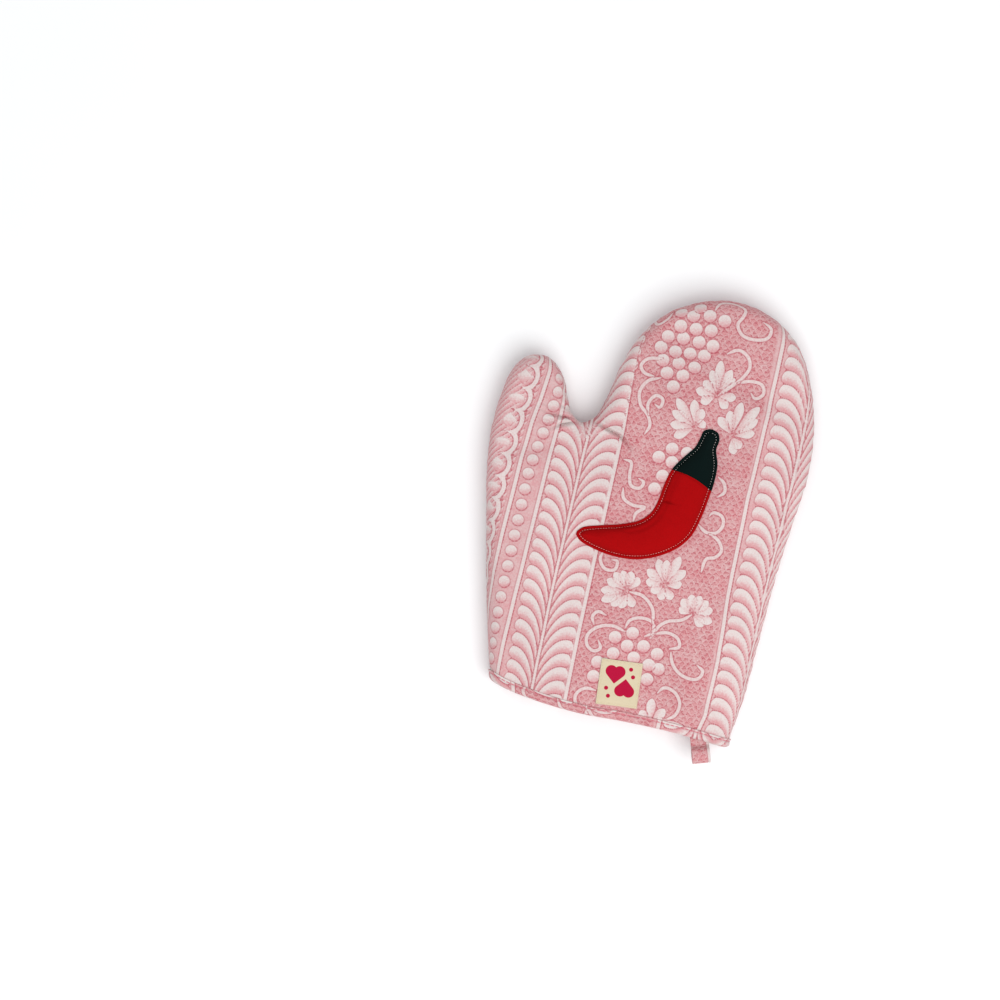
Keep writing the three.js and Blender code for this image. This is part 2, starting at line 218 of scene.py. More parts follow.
class Field:
    """One or more values on a plan grid, read between its points."""

    def __init__(self, step=2.0, low=(-134.0, -20.0), high=(104.0, 304.0)):
        self.step, self.low = step, np.array(low)
        self.shape = tuple(int(round((b - a) / step)) + 1 for a, b in zip(low, high))
        x, y = (low[k] + step * np.arange(self.shape[k]) for k in range(2))
        self.points = np.stack(np.meshgrid(x, y, indexing="ij"), axis=-1).reshape(-1, 2)
        self.values = None

    def cells(self, points):
        """The grid cell that each point lies in, and how far across the cell it is."""
        at = (points - self.low) / self.step
        cell = np.clip(np.floor(at).astype(int), 0, np.array(self.shape) - 2)
        return cell, np.clip(at - cell, 0, 1)

    def read(self, points):
        """The values at plan points."""
        cell, part = self.cells(points)
        grid = self.values.reshape(*self.shape, -1)
        total = 0
        for dx in (0, 1):
            for dy in (0, 1):
                weight = np.abs(1 - dx - part[:, 0]) * np.abs(1 - dy - part[:, 1])
                total = total + weight[:, None] * grid[cell[:, 0] + dx, cell[:, 1] + dy]
        return total

    def gather(self, points, values, spread):
        """Fills the grid with a Gaussian average of scattered values, spread mm wide."""
        cell, _ = self.cells(points)
        sums = np.zeros((*self.shape, values.shape[1] + 1))
        np.add.at(sums, (cell[:, 0], cell[:, 1]), np.column_stack([values, np.ones(len(values))]))
        reach = int(3 * spread / self.step)
        kernel = np.exp(-0.5 * (np.arange(-reach, reach + 1) * self.step / spread) ** 2)
        for axis in (0, 1):
            sums = np.apply_along_axis(lambda line: np.convolve(line, kernel, "same"), axis, sums)
        weight = np.maximum(sums[..., -1:], 1e-9)
        self.values = (sums[..., :-1] / weight).reshape(-1, values.shape[1])


CREASES = (  # folds that run out of the thumb's crotch: path, depth and width
    (((-69.5, 192.6), (-75.2, 194.0), (-81.9, 195.3), (-86.0, 197.5)), 3.4, 0.62),
    (((-67.5, 189.6), (-72.4, 188.7), (-80.0, 188.0), (-87.3, 188.1), (-93.0, 190.0)), 4.4, 0.66),
    (((-66.0, 187.8), (-69.8, 186.8), (-77.0, 183.6), (-84.9, 178.7)), 4.6, 0.7),
    (((-58.0, 190.8), (-50.0, 187.9), (-38.5, 184.6), (-30.8, 179.8), (-24.0, 174.0)), 4.3, 0.75),
)
FINE_DEPTH = 0.5  # faces less deep than this follow the creases closely
BROADENING = 4.0
_rim_distance = Field()
_settled = {}


def measure_rim():
    """Fills the grid of distances to the sewn outline."""
    tree = KDTree(len(_outline))
    for i, (x, y) in enumerate(_outline):
        tree.insert((x, y, 0), i)
    tree.balance()
    _rim_distance.values = np.array([[tree.find((x, y, 0))[2]] for x, y in _rim_distance.points])


def waves(points, size, seed):
    """Smooth unevenness between about -1 and 1, made of a few crossing waves."""
    draw = np.random.default_rng(seed)
    total = np.zeros(len(points))
    for _ in range(7):
        turn, phase, stretch = draw.uniform(0, math.tau), draw.uniform(0, math.tau), draw.uniform(0.7, 1.5)
        way = np.array([math.cos(turn), math.sin(turn)])
        total += np.sin(points @ way * math.tau / (size * stretch) + phase)
    return total / 4


def relief(points, side, depth=0.0):
    """How far a panel's face is moved from its flat plan, as x, y and height in mm. Layers under the cover
    have broader creases, because their meshes are coarser."""
    sizes = bpy.context.scene.mitt_sizes
    rim = _rim_distance.read(points)[:, 0]
    moved = np.zeros((len(points), 3))
    if side in _settled:
        moved += _settled[side].read(points)
    if side > 0:
        height = -2.2 * (1 - smoothstep(6, 52, rim)) + 0.45 * waves(points, 46, 3)
        for path, sunk, width in CREASES:
            sunk *= sizes.crease_depth
            broad = 1.0 if depth < FINE_DEPTH else BROADENING
            gap, along = to_path(points, np.array(path))
            fade = 1 - smoothstep(0.45, 1.0, along / lengths(np.array(path))[-1])
            height -= sunk * np.exp(-((gap / (broad * width)) ** 2)) * fade
            if depth < FINE_DEPTH:
                height += 0.14 * sunk * np.exp(-(((gap - 3.2 * width) / (1.4 * width)) ** 2))
        chilli, _ = to_path(points, _chilli_rim)
        height -= 0.5 * np.exp(-((chilli / 3.5) ** 2))
        moved[:, 2] += height
    else:
        inside = points[:, 1] - cuff_y(points[:, 0])
        moved[:, 2] = np.minimum(moved[:, 2], 0) - 0.9 * (1 - smoothstep(4, 30, rim))
        moved[:, 2] -= 1.1 * (1 - smoothstep(6, 18, inside))
    return moved


def place_on(points, side, depth=0.0):
    """Plan points on the flat part of a panel, depth mm below its face, as x, y and height in mm."""
    moved = relief(points, side, depth)
    z = SEAM_Z + side * (SEAM_Z - depth + moved[:, 2])
    return np.column_stack([points + moved[:, :2], z])


# ---------------------------------------------------------------- meshes

def new_mesh(name, points, triangles):
    """A mesh object from plan points in mm and triangles."""
    points = (np.asarray(points, float) + np.array(SHIFT)) * MM
    triangles = np.asarray(triangles, np.int32)
    mesh = bpy.data.meshes.new(name)
    mesh.vertices.add(len(points))
    mesh.vertices.foreach_set("co", points.astype(np.float32).ravel())
    mesh.loops.add(triangles.size)
    mesh.loops.foreach_set("vertex_index", triangles.ravel())
    mesh.polygons.add(len(triangles))
    mesh.polygons.foreach_set("loop_start", np.arange(0, triangles.size, 3, dtype=np.int32))
    mesh.polygons.foreach_set("use_smooth", np.full(len(triangles), True))
    mesh.update(calc_edges=True)
    if mesh.validate():
        raise RuntimeError(f"{name}: its mesh had faces that can't be drawn")
    thing = bpy.data.objects.new(name, mesh)
    bpy.context.scene.collection.objects.link(thing)
    return thing


def quads(a, b, c, d):
    """Triangles for rows of four-cornered faces."""
    halves = [np.stack(half, axis=-1).reshape(-1, 3) for half in ((a, b, c), (a, c, d))]
    return np.vstack(halves)


def lattice(rows, columns, wrap_rows=False, wrap_columns=False):
    """Triangles over a grid of points, row by row."""
    index = np.arange(rows * columns).reshape(rows, columns)
    if wrap_rows:
        index = np.vstack([index, index[:1]])
    if wrap_columns:
        index = np.column_stack([index, index[:, :1]])
    return quads(index[:-1, :-1], index[:-1, 1:], index[1:, 1:], index[1:, :-1])


def put(thing, name, values):
    """Stores one number for each vertex."""
    layer = thing.data.attributes.new(name, "FLOAT", "POINT")
    layer.data.foreach_set("value", np.asarray(values, np.float32))


def corner_normals(points, triangles):
    """Smooth vertex normals, weighted by area."""
    a, b, c = (points[triangles[:, k]] for k in range(3))
    face = np.cross(b - a, c - a)
    total = np.zeros_like(points)
    for k in range(3):
        np.add.at(total, triangles[:, k], face)
    return total / np.maximum(np.linalg.norm(total, axis=1), 1e-12)[:, None]


def link_once(thing, material):
    """Gives a piece its one material."""
    thing.data.materials.clear()
    thing.data.materials.append(material)


# ---------------------------------------------------------------- quilted panels

class Plan:
    """The plan of one layer: rings of columns along the outline, and a triangulated middle."""

    def __init__(self, start, columns, rings, edge_step, spacing):
        """Starts so many mm inside the cuff's edge. The last two are mm between points: along the cuff
        and the thumb's cut, and in the middle."""
        self.start, self.columns, self.rings = start, columns, rings
        self.rim, self.inward = outline_from(start, columns)
        along = lengths(self.rim)
        self.near_cuff = [1 - smoothstep(0, 25, along), 1 - smoothstep(0, 25, along[-1] - along)]
        self.angles = np.linspace(0, math.pi / 2, rings)
        inner = self.ring(EDGE_RADIUS)
        width = inner[-1, 0] - inner[0, 0]
        cuff = np.linspace(inner[-1, 0], inner[0, 0], int(width / edge_step) + 2)[1:-1]
        self.cuff = np.column_stack([cuff, cuff_y(cuff) + start])
        self.cut_ends = [self.nearest(place) for place in (THUMB_CUT, CROTCH)]
        ends = inner[self.cut_ends]
        self.cut = evenly(ends, edge_step)[1:-1]
        self.fill(inner, spacing)

    def nearest(self, place):
        """Which column starts nearest to a plan point."""
        return int(np.argmin(np.linalg.norm(self.rim - np.array(place), axis=1)))

    def ring(self, inset):
        """The outline moved inwards, with its two ends kept on the cuff's line."""
        points = self.rim + inset * self.inward
        for end, fade in zip((0, -1), self.near_cuff):
            points[:, 1] += fade * (cuff_y(points[end, 0]) + self.start - points[end, 1])
        return points

    def fill(self, inner, spacing):
        """Triangulates the middle, with the cuff's line and the thumb's cut among its edges."""
        edge = np.vstack([inner, self.cuff])
        low, high = edge.min(axis=0), edge.max(axis=0)
        step_y = spacing * math.sqrt(3) / 2
        grid = []
        for k, y in enumerate(np.arange(low[1], high[1], step_y)):
            x = np.arange(low[0] + (k % 2) * spacing / 2, high[0], spacing)
            grid.append(np.column_stack([x, np.full(len(x), y)]))
        grid = np.vstack(grid)
        grid = grid[inside_of(grid, edge)]
        fixed = np.vstack([edge, self.cut])
        tree = KDTree(len(fixed))
        for i, (x, y) in enumerate(fixed):
            tree.insert((x, y, 0), i)
        tree.balance()
        clear = np.array([tree.find((x, y, 0))[2] > 0.6 * spacing for x, y in grid])
        self.middle = grid[clear]
        self.flat = np.vstack([fixed, self.middle])
        ends = [self.cut_ends[0], *range(len(edge), len(fixed)), self.cut_ends[1]]
        edges = [(i, (i + 1) % len(edge)) for i in range(len(edge))] + list(zip(ends, ends[1:]))
        flat = [Vector(p) for p in self.flat]
        made, _, faces, source, _, _ = delaunay_2d_cdt(flat, edges, [], 1, 1e-5)
        if len(made) != len(flat):
            raise RuntimeError("the middle of a panel has crossing edges")
        back = np.array([s[0] for s in source])
        faces = back[np.array(faces)]
        a, b, c = (self.flat[faces[:, k]] for k in range(3))
        turned = (b[:, 0] - a[:, 0]) * (c[:, 1] - a[:, 1]) - (b[:, 1] - a[:, 1]) * (c[:, 0] - a[:, 0]) < 0
        faces[turned] = faces[turned][:, ::-1]
        centre = self.flat[faces].mean(axis=1)
        way = inner[self.cut_ends[1]] - inner[self.cut_ends[0]]
        off = centre - inner[self.cut_ends[0]]
        beyond = way[0] * off[:, 1] - way[1] * off[:, 0] > 0
        near = np.zeros(len(faces), bool)
        near[beyond] = self.thumb_side(centre[beyond], inner)
        self.flat_faces, self.flat_thumb = faces, near

    def thumb_side(self, centre, inner):
        """Which points lie in the thumb's part of the middle."""
        first, last = self.cut_ends
        return inside_of(centre, np.vstack([inner[first:last + 1], self.cut[::-1]]))

    def surface(self, side, depth, tuck=0.0, pucker=0.0):
        """Points of a layer's face at a depth, and where each lies on the flat cloth."""
        across, up = EDGE_RADIUS - depth, SEAM_Z - depth
        arc = lengths(np.column_stack([across * np.cos(self.angles), up * np.sin(self.angles)]))
        along = lengths(self.rim)
        # The cloth is eased round the crotch, so less of it rolls over the seam there
        free = 0.1 + 0.9 * smoothstep(5, 26, np.linalg.norm(self.rim - np.array(CROTCH), axis=1))
        rows, cloth = [], []
        for k, angle in enumerate(self.angles):
            inset = EDGE_RADIUS - across * math.cos(angle) + tuck * math.exp(-((angle / 0.13) ** 2))
            plain = self.ring(inset)
            moved = relief(plain, side, depth)
            ripple = pucker * math.cos(angle) ** 2 * self.ripple(along, side)
            lift = moved[:, 2] * math.sin(angle) ** 2
            z = SEAM_Z + side * (SEAM_GAP + (up - SEAM_GAP) * math.sin(angle) + lift)
            plan = plain + moved[:, :2] * math.sin(angle) + ripple[:, None] * self.inward
            rows.append(np.column_stack([plan, z]))
            extra = (arc[-1] - arc[k]) - across * math.cos(angle)
            cloth.append(plain - extra * free[:, None] * self.inward)
        middle = np.vstack([self.cuff, self.cut, self.middle])
        points = np.vstack([*rows, place_on(middle, side, depth)])
        cloth = np.vstack([*cloth, middle])
        return points, cloth

    def ripple(self, along, side):
        """The unevenness of the cloth along the side seam."""
        draw = np.random.default_rng(11 + side)
        total = np.zeros(len(along))
        for size in (6.0, 8.5, 12.0, 19.0):
            total += np.sin(along * math.tau / size + draw.uniform(0, math.tau)) * (0.5 + size / 24)
        return 0.25 + total / 4

    def triangles(self):
        """Triangles of the face, anticlockwise seen from the front, and which belong to the thumb."""
        n, last = self.columns, (self.rings - 1) * self.columns
        index = np.arange(self.rings * n).reshape(self.rings, n)
        strips = quads(index[:-1, :-1], index[1:, :-1], index[1:, 1:], index[:-1, 1:])
        column = np.tile(np.tile(np.arange(n - 1), self.rings - 1), 2)
        thumb = (column >= self.cut_ends[0]) & (column < self.cut_ends[1])
        faces = self.flat_faces + last
        return np.vstack([strips, faces]), np.concatenate([thumb, self.flat_thumb])

    def shared(self):
        """How many leading points every face of this layer has in common: rings, cuff and cut."""
        return self.rings * self.columns + len(self.cuff) + len(self.cut)


def shell(faces_out, faces_in, keep_out, keep_in, outside, shared):
    """Closes an outer and an inner face into one body, and tells which source point each vertex is.
    The outside has that many points, and the shared ones lead in both faces."""
    outer = faces_out[keep_out]
    inner = faces_in[keep_in][:, ::-1] + outside
    edges = np.vstack([outer[:, [0, 1]], outer[:, [1, 2]], outer[:, [2, 0]]])
    key = edges[:, 0].astype(np.int64) * 10_000_000 + edges[:, 1]
    opposite = edges[:, 1].astype(np.int64) * 10_000_000 + edges[:, 0]
    border = edges[~np.isin(key, opposite)]
    if border.max() >= shared:
        raise RuntimeError("a layer's two faces don't share their border")
    a, b = border[:, 0], border[:, 1]
    rim = quads(b, a, a + outside, b + outside)
    faces = np.vstack([outer, inner, rim])
    used, faces = np.unique(faces, return_inverse=True)
    return used, faces.reshape(-1, 3)


# ---------------------------------------------------------------- the printed quilting pattern

# Stripes that run from cuff to finger tips: (height, place across) points of each line, in print millimetres
PRINT_TURN = math.radians(2.7)
LINE_B = ((0, -30.8), (50, -30.6), (100, -29.8), (170, -28.4), (300, -29.0))
LINE_A = ((0, 61.6), (12, 64.2), (50, 65.3), (110, 63.5), (160, 63.8), (200, 65.0), (300, 66.8))
LEFT_STEM = ((0, -54.2), (80, -53.7), (150, -51.6), (185, -50.4), (300, -45.0))
RIGHT_STEM = ((0, 88.6), (100, 89.4), (160, 90.9), (240, 91.8), (300, 92.0))
LINE_C = ((0, -79.8), (50, -78.4), (90, -76.6), (170, -72.6), (220, -69.6))
LINE_D = ((0, -99.8), (90, -95.0), (150, -91.6), (183, -89.2), (200, -86.6), (220, -84.4))
PEARLS = ((0, -88.0), (60, -87.0), (150, -84.6), (170, -81.7), (190, -78.3), (207, -75.8), (240, -75.4))
RIGHT_LINE_C = ((0, 113.5), (300, 116.0))
RIGHT_PEARLS = ((0, 121.0), (300, 123.5))
RIGHT_LINE_D = ((0, 129.0), (300, 131.5))
PLUME_RISE = 33.0  # how far a plume climbs from its stem to its crest
PLUME_CREST = 17.5  # how far from the stem that crest is
BACK_FLIP = 34.0  # the back's print is the front's, turned over about half of this place across
PEARL_ROWS = (-3, 12, 19, 32)  # the pearls' rows are closer together beside the thumb's crotch
PEARL_HEIGHTS = (-11.2, 148.8, 216.9, 355.0)
SCALLOP_STEP = 15.4

GRAPES = (
    (7.5, 281.7), (-4.7, 276.3), (4.3, 274.7), (15, 276.7), (25.3, 275.3), (-2.7, 266.3), (7.7, 266.3),
    (17.7, 267.2), (-9.7, 257.8), (0.5, 258.7), (11.2, 258.3), (20.8, 257.5), (-13, 249.7), (-3, 248.7),
    (6.7, 249.5), (16.3, 250), (-10.3, 241.3), (0.5, 241.2), (11.3, 240.5), (-6.2, 233.3), (4.5, 233.3),
    (-0.5, 225), (7, 184.2), (17.5, 183.3), (-0.8, 177), (8.7, 175.3), (4.2, 165), (0.6, 155.5),
    (-5.8, 52), (5.3, 57), (3.3, 47.8), (14.2, 49.7), (24.2, 46.3), (-5, 41), (9.2, 40.8), (20, 38),
    (27, 36.5), (-14.2, 33.3), (-15, 23.3), (20.8, 28.3), (-9, 33),
)
GRAPE_RADIUS = 4.35
LEAVES = (  # centre, then the tips of the petals
    ((29.4, 224.6), ((28, 249.5), (36.4, 244.6), (39.6, 239.2), (42.3, 226), (14.6, 226), (18.6, 232.8),
     (23, 241.6), (19.4, 218.4), (38, 218))),
    ((44.6, 200.6), ((46.6, 224), (59, 223.4), (59.6, 214.6), (59.4, 205.4), (52.2, 193.4), (40, 217),
     (33.4, 211.4), (48.4, 188.6))),
    ((19.6, 201.4), ((3.2, 218), (15, 219.4), (2, 209.4), (2.2, 200.4), (6.4, 192.4), (22, 214.4),
     (25.6, 206))),
    ((20.2, 92.6), ((12.4, 109.6), (18.4, 110.2), (26.8, 114.2), (32.4, 105.4), (31.4, 96.2), (6.4, 101.4),
     (7, 93.4), (11.6, 87), (26.8, 84.4), (19, 82.6))),
    ((-3.6, 84.2), ((-15, 95), (-9.8, 97.2), (-3.6, 97.8), (2.6, 94.6), (-19, 89.4), (-21.8, 81.4),
     (-20, 74.4), (-12.6, 72.2), (-6.4, 71.8), (2.2, 74.2))),
    ((42, 77.2), ((39.4, 90.6), (45.6, 90.8), (51.4, 88.2), (33.4, 86.4), (55.4, 83.2), (56.6, 74.6),
     (51, 70.8), (32.6, 80))),
    ((28.4, -2.4), ((26.6, 16.4), (20.6, 6.8), (36.8, 11), (38.6, 3.4), (18.4, -1.6))),
)
TENDRILS = (
    ((17.5, 281), (20.4, 288.2), (30, 290), (37.6, 286), (36.6, 280), (34.2, 275), (38, 268.8), (47, 267),
     (55.6, 270), (56.6, 276.4), (50.8, 280)),
    ((31, 254.4), (38.2, 258.2), (45, 255), (47.6, 248.4), (44.4, 240.8), (37.4, 232.6), (30.4, 225.4)),
    ((42, 236.6), (50, 239.4), (58, 238.4), (60, 232.6), (55, 228.4), (51.6, 231.6)),
    ((-11, 242.4), (-20.6, 240.2), (-24, 235), (-20.8, 230.6), (-14, 229.6)),
    ((-9.6, 229.4), (-17.4, 226), (-21.8, 218.2), (-19.6, 209.2), (-13.6, 203.2), (-11, 196.6),
     (-13.4, 190.4)),
    ((-13.2, 203.6), (-14.8, 211), (-10.4, 217.4), (-5.6, 215.4), (-6.6, 210), (-10.4, 211.4)),
    ((-23.6, 171), (-18.4, 170), (-17.6, 160.6), (-15.2, 154.4), (-9.2, 154), (-7.4, 158.4),
     (-11.2, 160.2)),
    ((-20.2, 152), (-18.6, 145.2), (-11.6, 141.8), (-3.4, 141.8), (-8.4, 136.8), (-9.2, 131)),
    ((34.4, 137.6), (40.4, 133.6), (47.2, 134.4), (50.8, 140.4), (49, 146), (42.6, 147.4), (40.4, 144.6)),
    ((43, 132.4), (47.4, 131.2), (50.8, 128.4), (53.2, 123.2), (50, 118.2), (44.2, 115.8), (42.6, 106.4)),
    ((41.4, 171.6), (45.8, 168.4), (47.4, 162.4), (43.2, 158.2)),
    ((-24.8, 107.6), (-26, 101.8), (-21.6, 96), (-15, 96.8), (-14.4, 102.6), (-18.4, 103)),
    ((-14.6, 65.4), (-20.6, 66.8), (-23.6, 62.6), (-21.4, 57.6)),
    ((0, 57), (-8.4, 59.2), (-18.2, 56.8), (-24.4, 50), (-23.4, 43.2), (-18.2, 40.2), (-14.2, 42.8),
     (-16.6, 48)),
    ((-0.4, 59.4), (1.6, 65), (8.4, 68.2), (17.2, 66.6), (18.4, 60), (13.4, 56.4)),
    ((-2, 84), (7, 83), (15, 76), (17.6, 66)),
    ((17.4, 55.6), (21.6, 64.8), (27, 69.4), (36, 72.2), (42, 77)),
    ((19.8, 59.4), (28.2, 61.8), (35.8, 59.4), (37.8, 54), (31.4, 51.4)),
    ((33, 49.6), (35, 43.2), (40, 37.4), (47.4, 34.4), (54.2, 35.2), (56.8, 40.8), (52, 44.4)),
    ((29.6, 20.6), (33.2, 25), (40.8, 23.4), (45.8, 16.6), (44.2, 8.2), (38.6, 4)),
    ((-11.6, 14.4), (-19, 14.4), (-24.2, 9.2), (-23.2, 3), (-17, 0)),
    ((33.2, 0.6), (43.2, 2.8), (52, 0.4), (56, -4)),
    ((-26, 272), (-19, 265.4), (-13, 270), (-11, 277)),
)


def at(line, height):
    """Where a stripe's line is, across the print, at each height."""
    points = np.array(line, float)
    return np.interp(height, points[:, 0], points[:, 1])


class Print:
    """The print at a set of places: figures, their shading, and the lines of mock stitching."""

    def __init__(self, places):
        self.u, self.v = places[:, 0], places[:, 1]
        self.motif = np.full(len(places), -3.0)  # mm inside the nearest figure, negative outside
        self.tone = np.zeros(len(places))  # 1 where a figure is white, 0 where it is shaded
        self.stitch = np.full(len(places), 3.0)  # mm from the nearest line of mock stitching
        self.dash = np.zeros(len(places))  # mm along that line

    def add_figure(self, inside, tone, where=slice(None)):
        """Draws a figure over what is there, wherever it reaches deeper."""
        motif, shade = self.motif[where], self.tone[where]
        over = inside > motif
        motif[over] = inside[over]
        shade[over] = tone[over]
        self.motif[where], self.tone[where] = motif, shade

    def add_line(self, distance, along, where=slice(None)):
        """Draws a stitched line, wherever it is nearer than those there."""
        stitch, dash = self.stitch[where], self.dash[where]
        over = distance < stitch
        stitch[over] = distance[over]
        dash[over] = along[over]
        self.stitch[where], self.dash[where] = stitch, dash

    def add_band(self, line, half, lines=(-1.0, 1.0)):
        """A white stripe, with stitched lines on the given sides."""
        off = self.u - at(line, self.v)
        self.add_figure(half - np.abs(off), np.full(len(off), 0.92))
        for side in lines:
            self.add_line(np.abs(off - side * (half + 0.35)), self.v)

    def add_feather(self, stem, half, way, period, phase):
        """Plumes that climb from a stem towards one side, each white above and shaded below."""
        s = way * (self.u - at(stem, self.v))
        left = 1 - np.clip(s, 0, half + 2) / PLUME_CREST
        climb = np.sqrt(np.clip(1 - left**2, 0, 1))
        slope = PLUME_RISE / PLUME_CREST * left / np.maximum(climb, 0.05)
        turns = (self.v - PLUME_RISE * climb - phase) / period
        t = turns - np.floor(turns)
        tip = half - 2.6 + 4.2 * np.sqrt(np.clip(1 - (2 * t - 1.08) ** 2, 0, 1))
        to_line = np.minimum(t, 1 - t) * period / np.sqrt(1 + slope**2)
        inside = np.where(s > half - 4, np.minimum(tip - s, to_line), np.minimum(to_line, s - 1))
        where = s > 1.0
        tone = (0.14 + 0.86 * smoothstep(0, 0.75, t)) * (0.8 + 0.2 * smoothstep(2, 9, s))
        self.add_figure(np.where(where, np.maximum(inside, -3), -3.0), tone)
        lined = where & (s < half + 0.8)
        self.add_line(np.where(lined, np.minimum(to_line, np.abs(tip - s) + 0.1), 3.0), s * 1.8)

    def add_stem(self, stem):
        """A feather's stem, drawn over the roots of its plumes."""
        off = np.abs(self.u - at(stem, self.v))
        self.add_figure(np.where(off < 1.5, 1.0 - off + 4, -3), np.full(len(off), 0.88))
        self.motif[off < 1.5] = 1.0 - off[off < 1.5]
        self.add_line(np.abs(off - 1.25), self.v)

    def add_discs(self, places, radius):
        """Pearls or grapes, lit from above and stitched below."""
        for x, y in places:
            near = np.nonzero((np.abs(self.u - x) < radius + 3) & (np.abs(self.v - y) < radius + 3))[0]
            if not len(near):
                continue
            dx, dy = self.u[near] - x, self.v[near] - y
            reach = np.hypot(dx, dy)
            lit = 0.55 + 0.45 * smoothstep(-0.5, 0.6, (0.95 * dy - 0.25 * dx) / radius)
            lit -= 0.4 * smoothstep(0.3, 1.0, (0.25 * dx - 0.95 * dy) / radius)
            self.add_figure(radius - reach, np.clip(lit, 0, 1), near)
            arc = smoothstep(-0.2, 0.5, (0.35 * dx - 0.94 * dy) / np.maximum(reach, 0.1))
            gap = np.abs(reach - radius - 0.2) + 1.2 * (1 - arc)
            self.add_line(gap, np.arctan2(dy, dx) * radius, near)

    def add_petal(self, root, tip, width):
        """One petal or leaf blade, widest near its tip."""
        a, b = np.array(root, float), np.array(tip, float)
        way = b - a
        size = np.linalg.norm(way)
        low, high = np.minimum(a, b) - width - 2, np.maximum(a, b) + width + 2
        near = (self.u > low[0]) & (self.u < high[0]) & (self.v > low[1]) & (self.v < high[1])
        near = np.nonzero(near)[0]
        if not len(near):
            return
        off = np.column_stack([self.u[near], self.v[near]]) - a
        along = off @ way / size
        side = (off[:, 0] * way[1] - off[:, 1] * way[0]) / size
        share = np.clip(along / size, 0, 1)
        half = width * np.clip(np.sin(math.pi * share**2.0), 0, 1) ** 0.7
        beyond = np.maximum(along - size, 0) + np.maximum(2.0 - along, 0)
        inside = half - np.abs(side) - beyond
        lit = 0.4 + 0.75 * share + 0.35 * side / width * np.sign(way[0] + 0.01)
        self.add_figure(inside, np.clip(lit, 0, 1), near)
        self.add_line(np.abs(inside + 0.3) + 0.25, along, near)

    def add_tendril(self, points, half):
        """A curling tendril, thinner at its ends."""
        path = curve_through(points, 1.2)
        low, high = path.min(axis=0) - 4, path.max(axis=0) + 4
        near = (self.u > low[0]) & (self.u < high[0]) & (self.v > low[1]) & (self.v < high[1])
        near = np.nonzero(near)[0]
        if not len(near):
            return
        gap, along = to_path(np.column_stack([self.u[near], self.v[near]]), path)
        size = lengths(path)[-1]
        taper = half * (0.45 + 0.55 * smoothstep(0, 5, np.minimum(along, size - along)))
        self.add_figure(taper - gap, np.full(len(near), 0.8), near)
        self.add_line(np.abs(gap - taper - 0.35) + 0.15, along, near)

    def add_scallops(self, line, way):
        """A white scalloped ribbon beside a line, and ovals and squares on hatching behind it."""
        off = way * (self.u - at(line, self.v))
        turns = (self.v - 205.3) / SCALLOP_STEP
        t = turns - np.floor(turns)
        arch = np.sqrt(np.clip(1 - (2 * t - 1) ** 2, 0, 1))
        bulge = 5.8 * arch
        slope = 5.8 * np.abs(2 * t - 1) / np.maximum(arch, 0.35) / 7
        gap = (off - 12.4 + bulge) / np.sqrt(1 + slope**2)
        self.add_figure(np.where(off > 3, 1.5 - np.abs(gap), -3), np.full(len(off), 0.9))
        self.add_line(np.where(off > 3, np.abs(np.abs(gap) - 1.8), 3), self.v)
        up = (t - 0.5) * SCALLOP_STEP
        odd = np.floor(turns) % 2
        oval = 4.0 * (1 - np.hypot((off - 15.6) / 5.6, up / 3.0))
        out = off - 15.2
        square = 3.7 - np.maximum(np.abs(0.82 * out + 0.57 * up), np.abs(0.57 * out - 0.82 * up))
        lozenge = np.where(odd > 0, oval, square)
        behind = (gap > 2.0) | ((gap < -2.0) & (off > 3.2))
        self.add_figure(np.where(gap > 2.2, lozenge, -3), np.clip(0.75 + up / 8, 0, 1))
        hatch = (0.68 * way * self.u + 0.73 * self.v) / 3.4
        rest = hatch - np.floor(hatch)
        plain = behind & (lozenge < -0.3)
        nearest = np.minimum(rest, 1 - rest) * 3.4 + 0.12
        self.add_line(np.where(plain, nearest, 3), 0.73 * self.u - 0.68 * way * self.v)
        self.add_figure(np.where(plain, 0.6, -3), 0.02 + 0.85 * rest)

    def draw(self):
        """The whole print. The first figures lie under the later ones where they are as deep."""
        u, v = self.u, self.v
        vine = smoothstep(-29.5, -28, u) * (1 - smoothstep(61, 63, u))
        self.ground = np.where(u < at(LINE_D, v), 0.25, np.where(vine > 0, vine, 0.1))
        pearl_rows = np.arange(-2, 32)
        heights = np.interp(pearl_rows, PEARL_ROWS, PEARL_HEIGHTS)
        pearls = [(float(at(PEARLS, y)), float(y)) for y in heights]
        others = [(float(at(RIGHT_PEARLS, y)), float(y)) for y in heights]
        self.add_discs(pearls + others, 3.9)
        self.add_feather(LEFT_STEM, 18.4, -1, 9.3, -9.0)
        self.add_feather(LEFT_STEM, 20.4, 1, 9.3, -7.5)
        self.add_feather(RIGHT_STEM, 20.6, -1, 9.4, -7.0)
        self.add_feather(RIGHT_STEM, 20.6, 1, 9.4, -6.0)
        self.add_scallops(LINE_D, -1)
        self.add_scallops(RIGHT_LINE_D, 1)
        for stem in (LEFT_STEM, RIGHT_STEM):
            self.add_stem(stem)
        for line in (LINE_B, LINE_A, LINE_C, RIGHT_LINE_C, LINE_D, RIGHT_LINE_D):
            self.add_band(line, 1.25, (1.0,))
        for path in TENDRILS:
            self.add_tendril(path, 1.15)
        for centre, tips in LEAVES:
            for tip in tips:
                self.add_petal(centre, tip, 3.2)
        self.add_discs(GRAPES, GRAPE_RADIUS)
        return self


def print_on(thing, places):
    """Stores the print of a piece, given its cloth's own places in print millimetres."""
    drawn = Print(places).draw()
    for name in ("motif", "tone", "stitch", "dash", "ground"):
        put(thing, name, getattr(drawn, name))
    put(thing, "cloth_u", places[:, 0])
    put(thing, "cloth_v", places[:, 1])


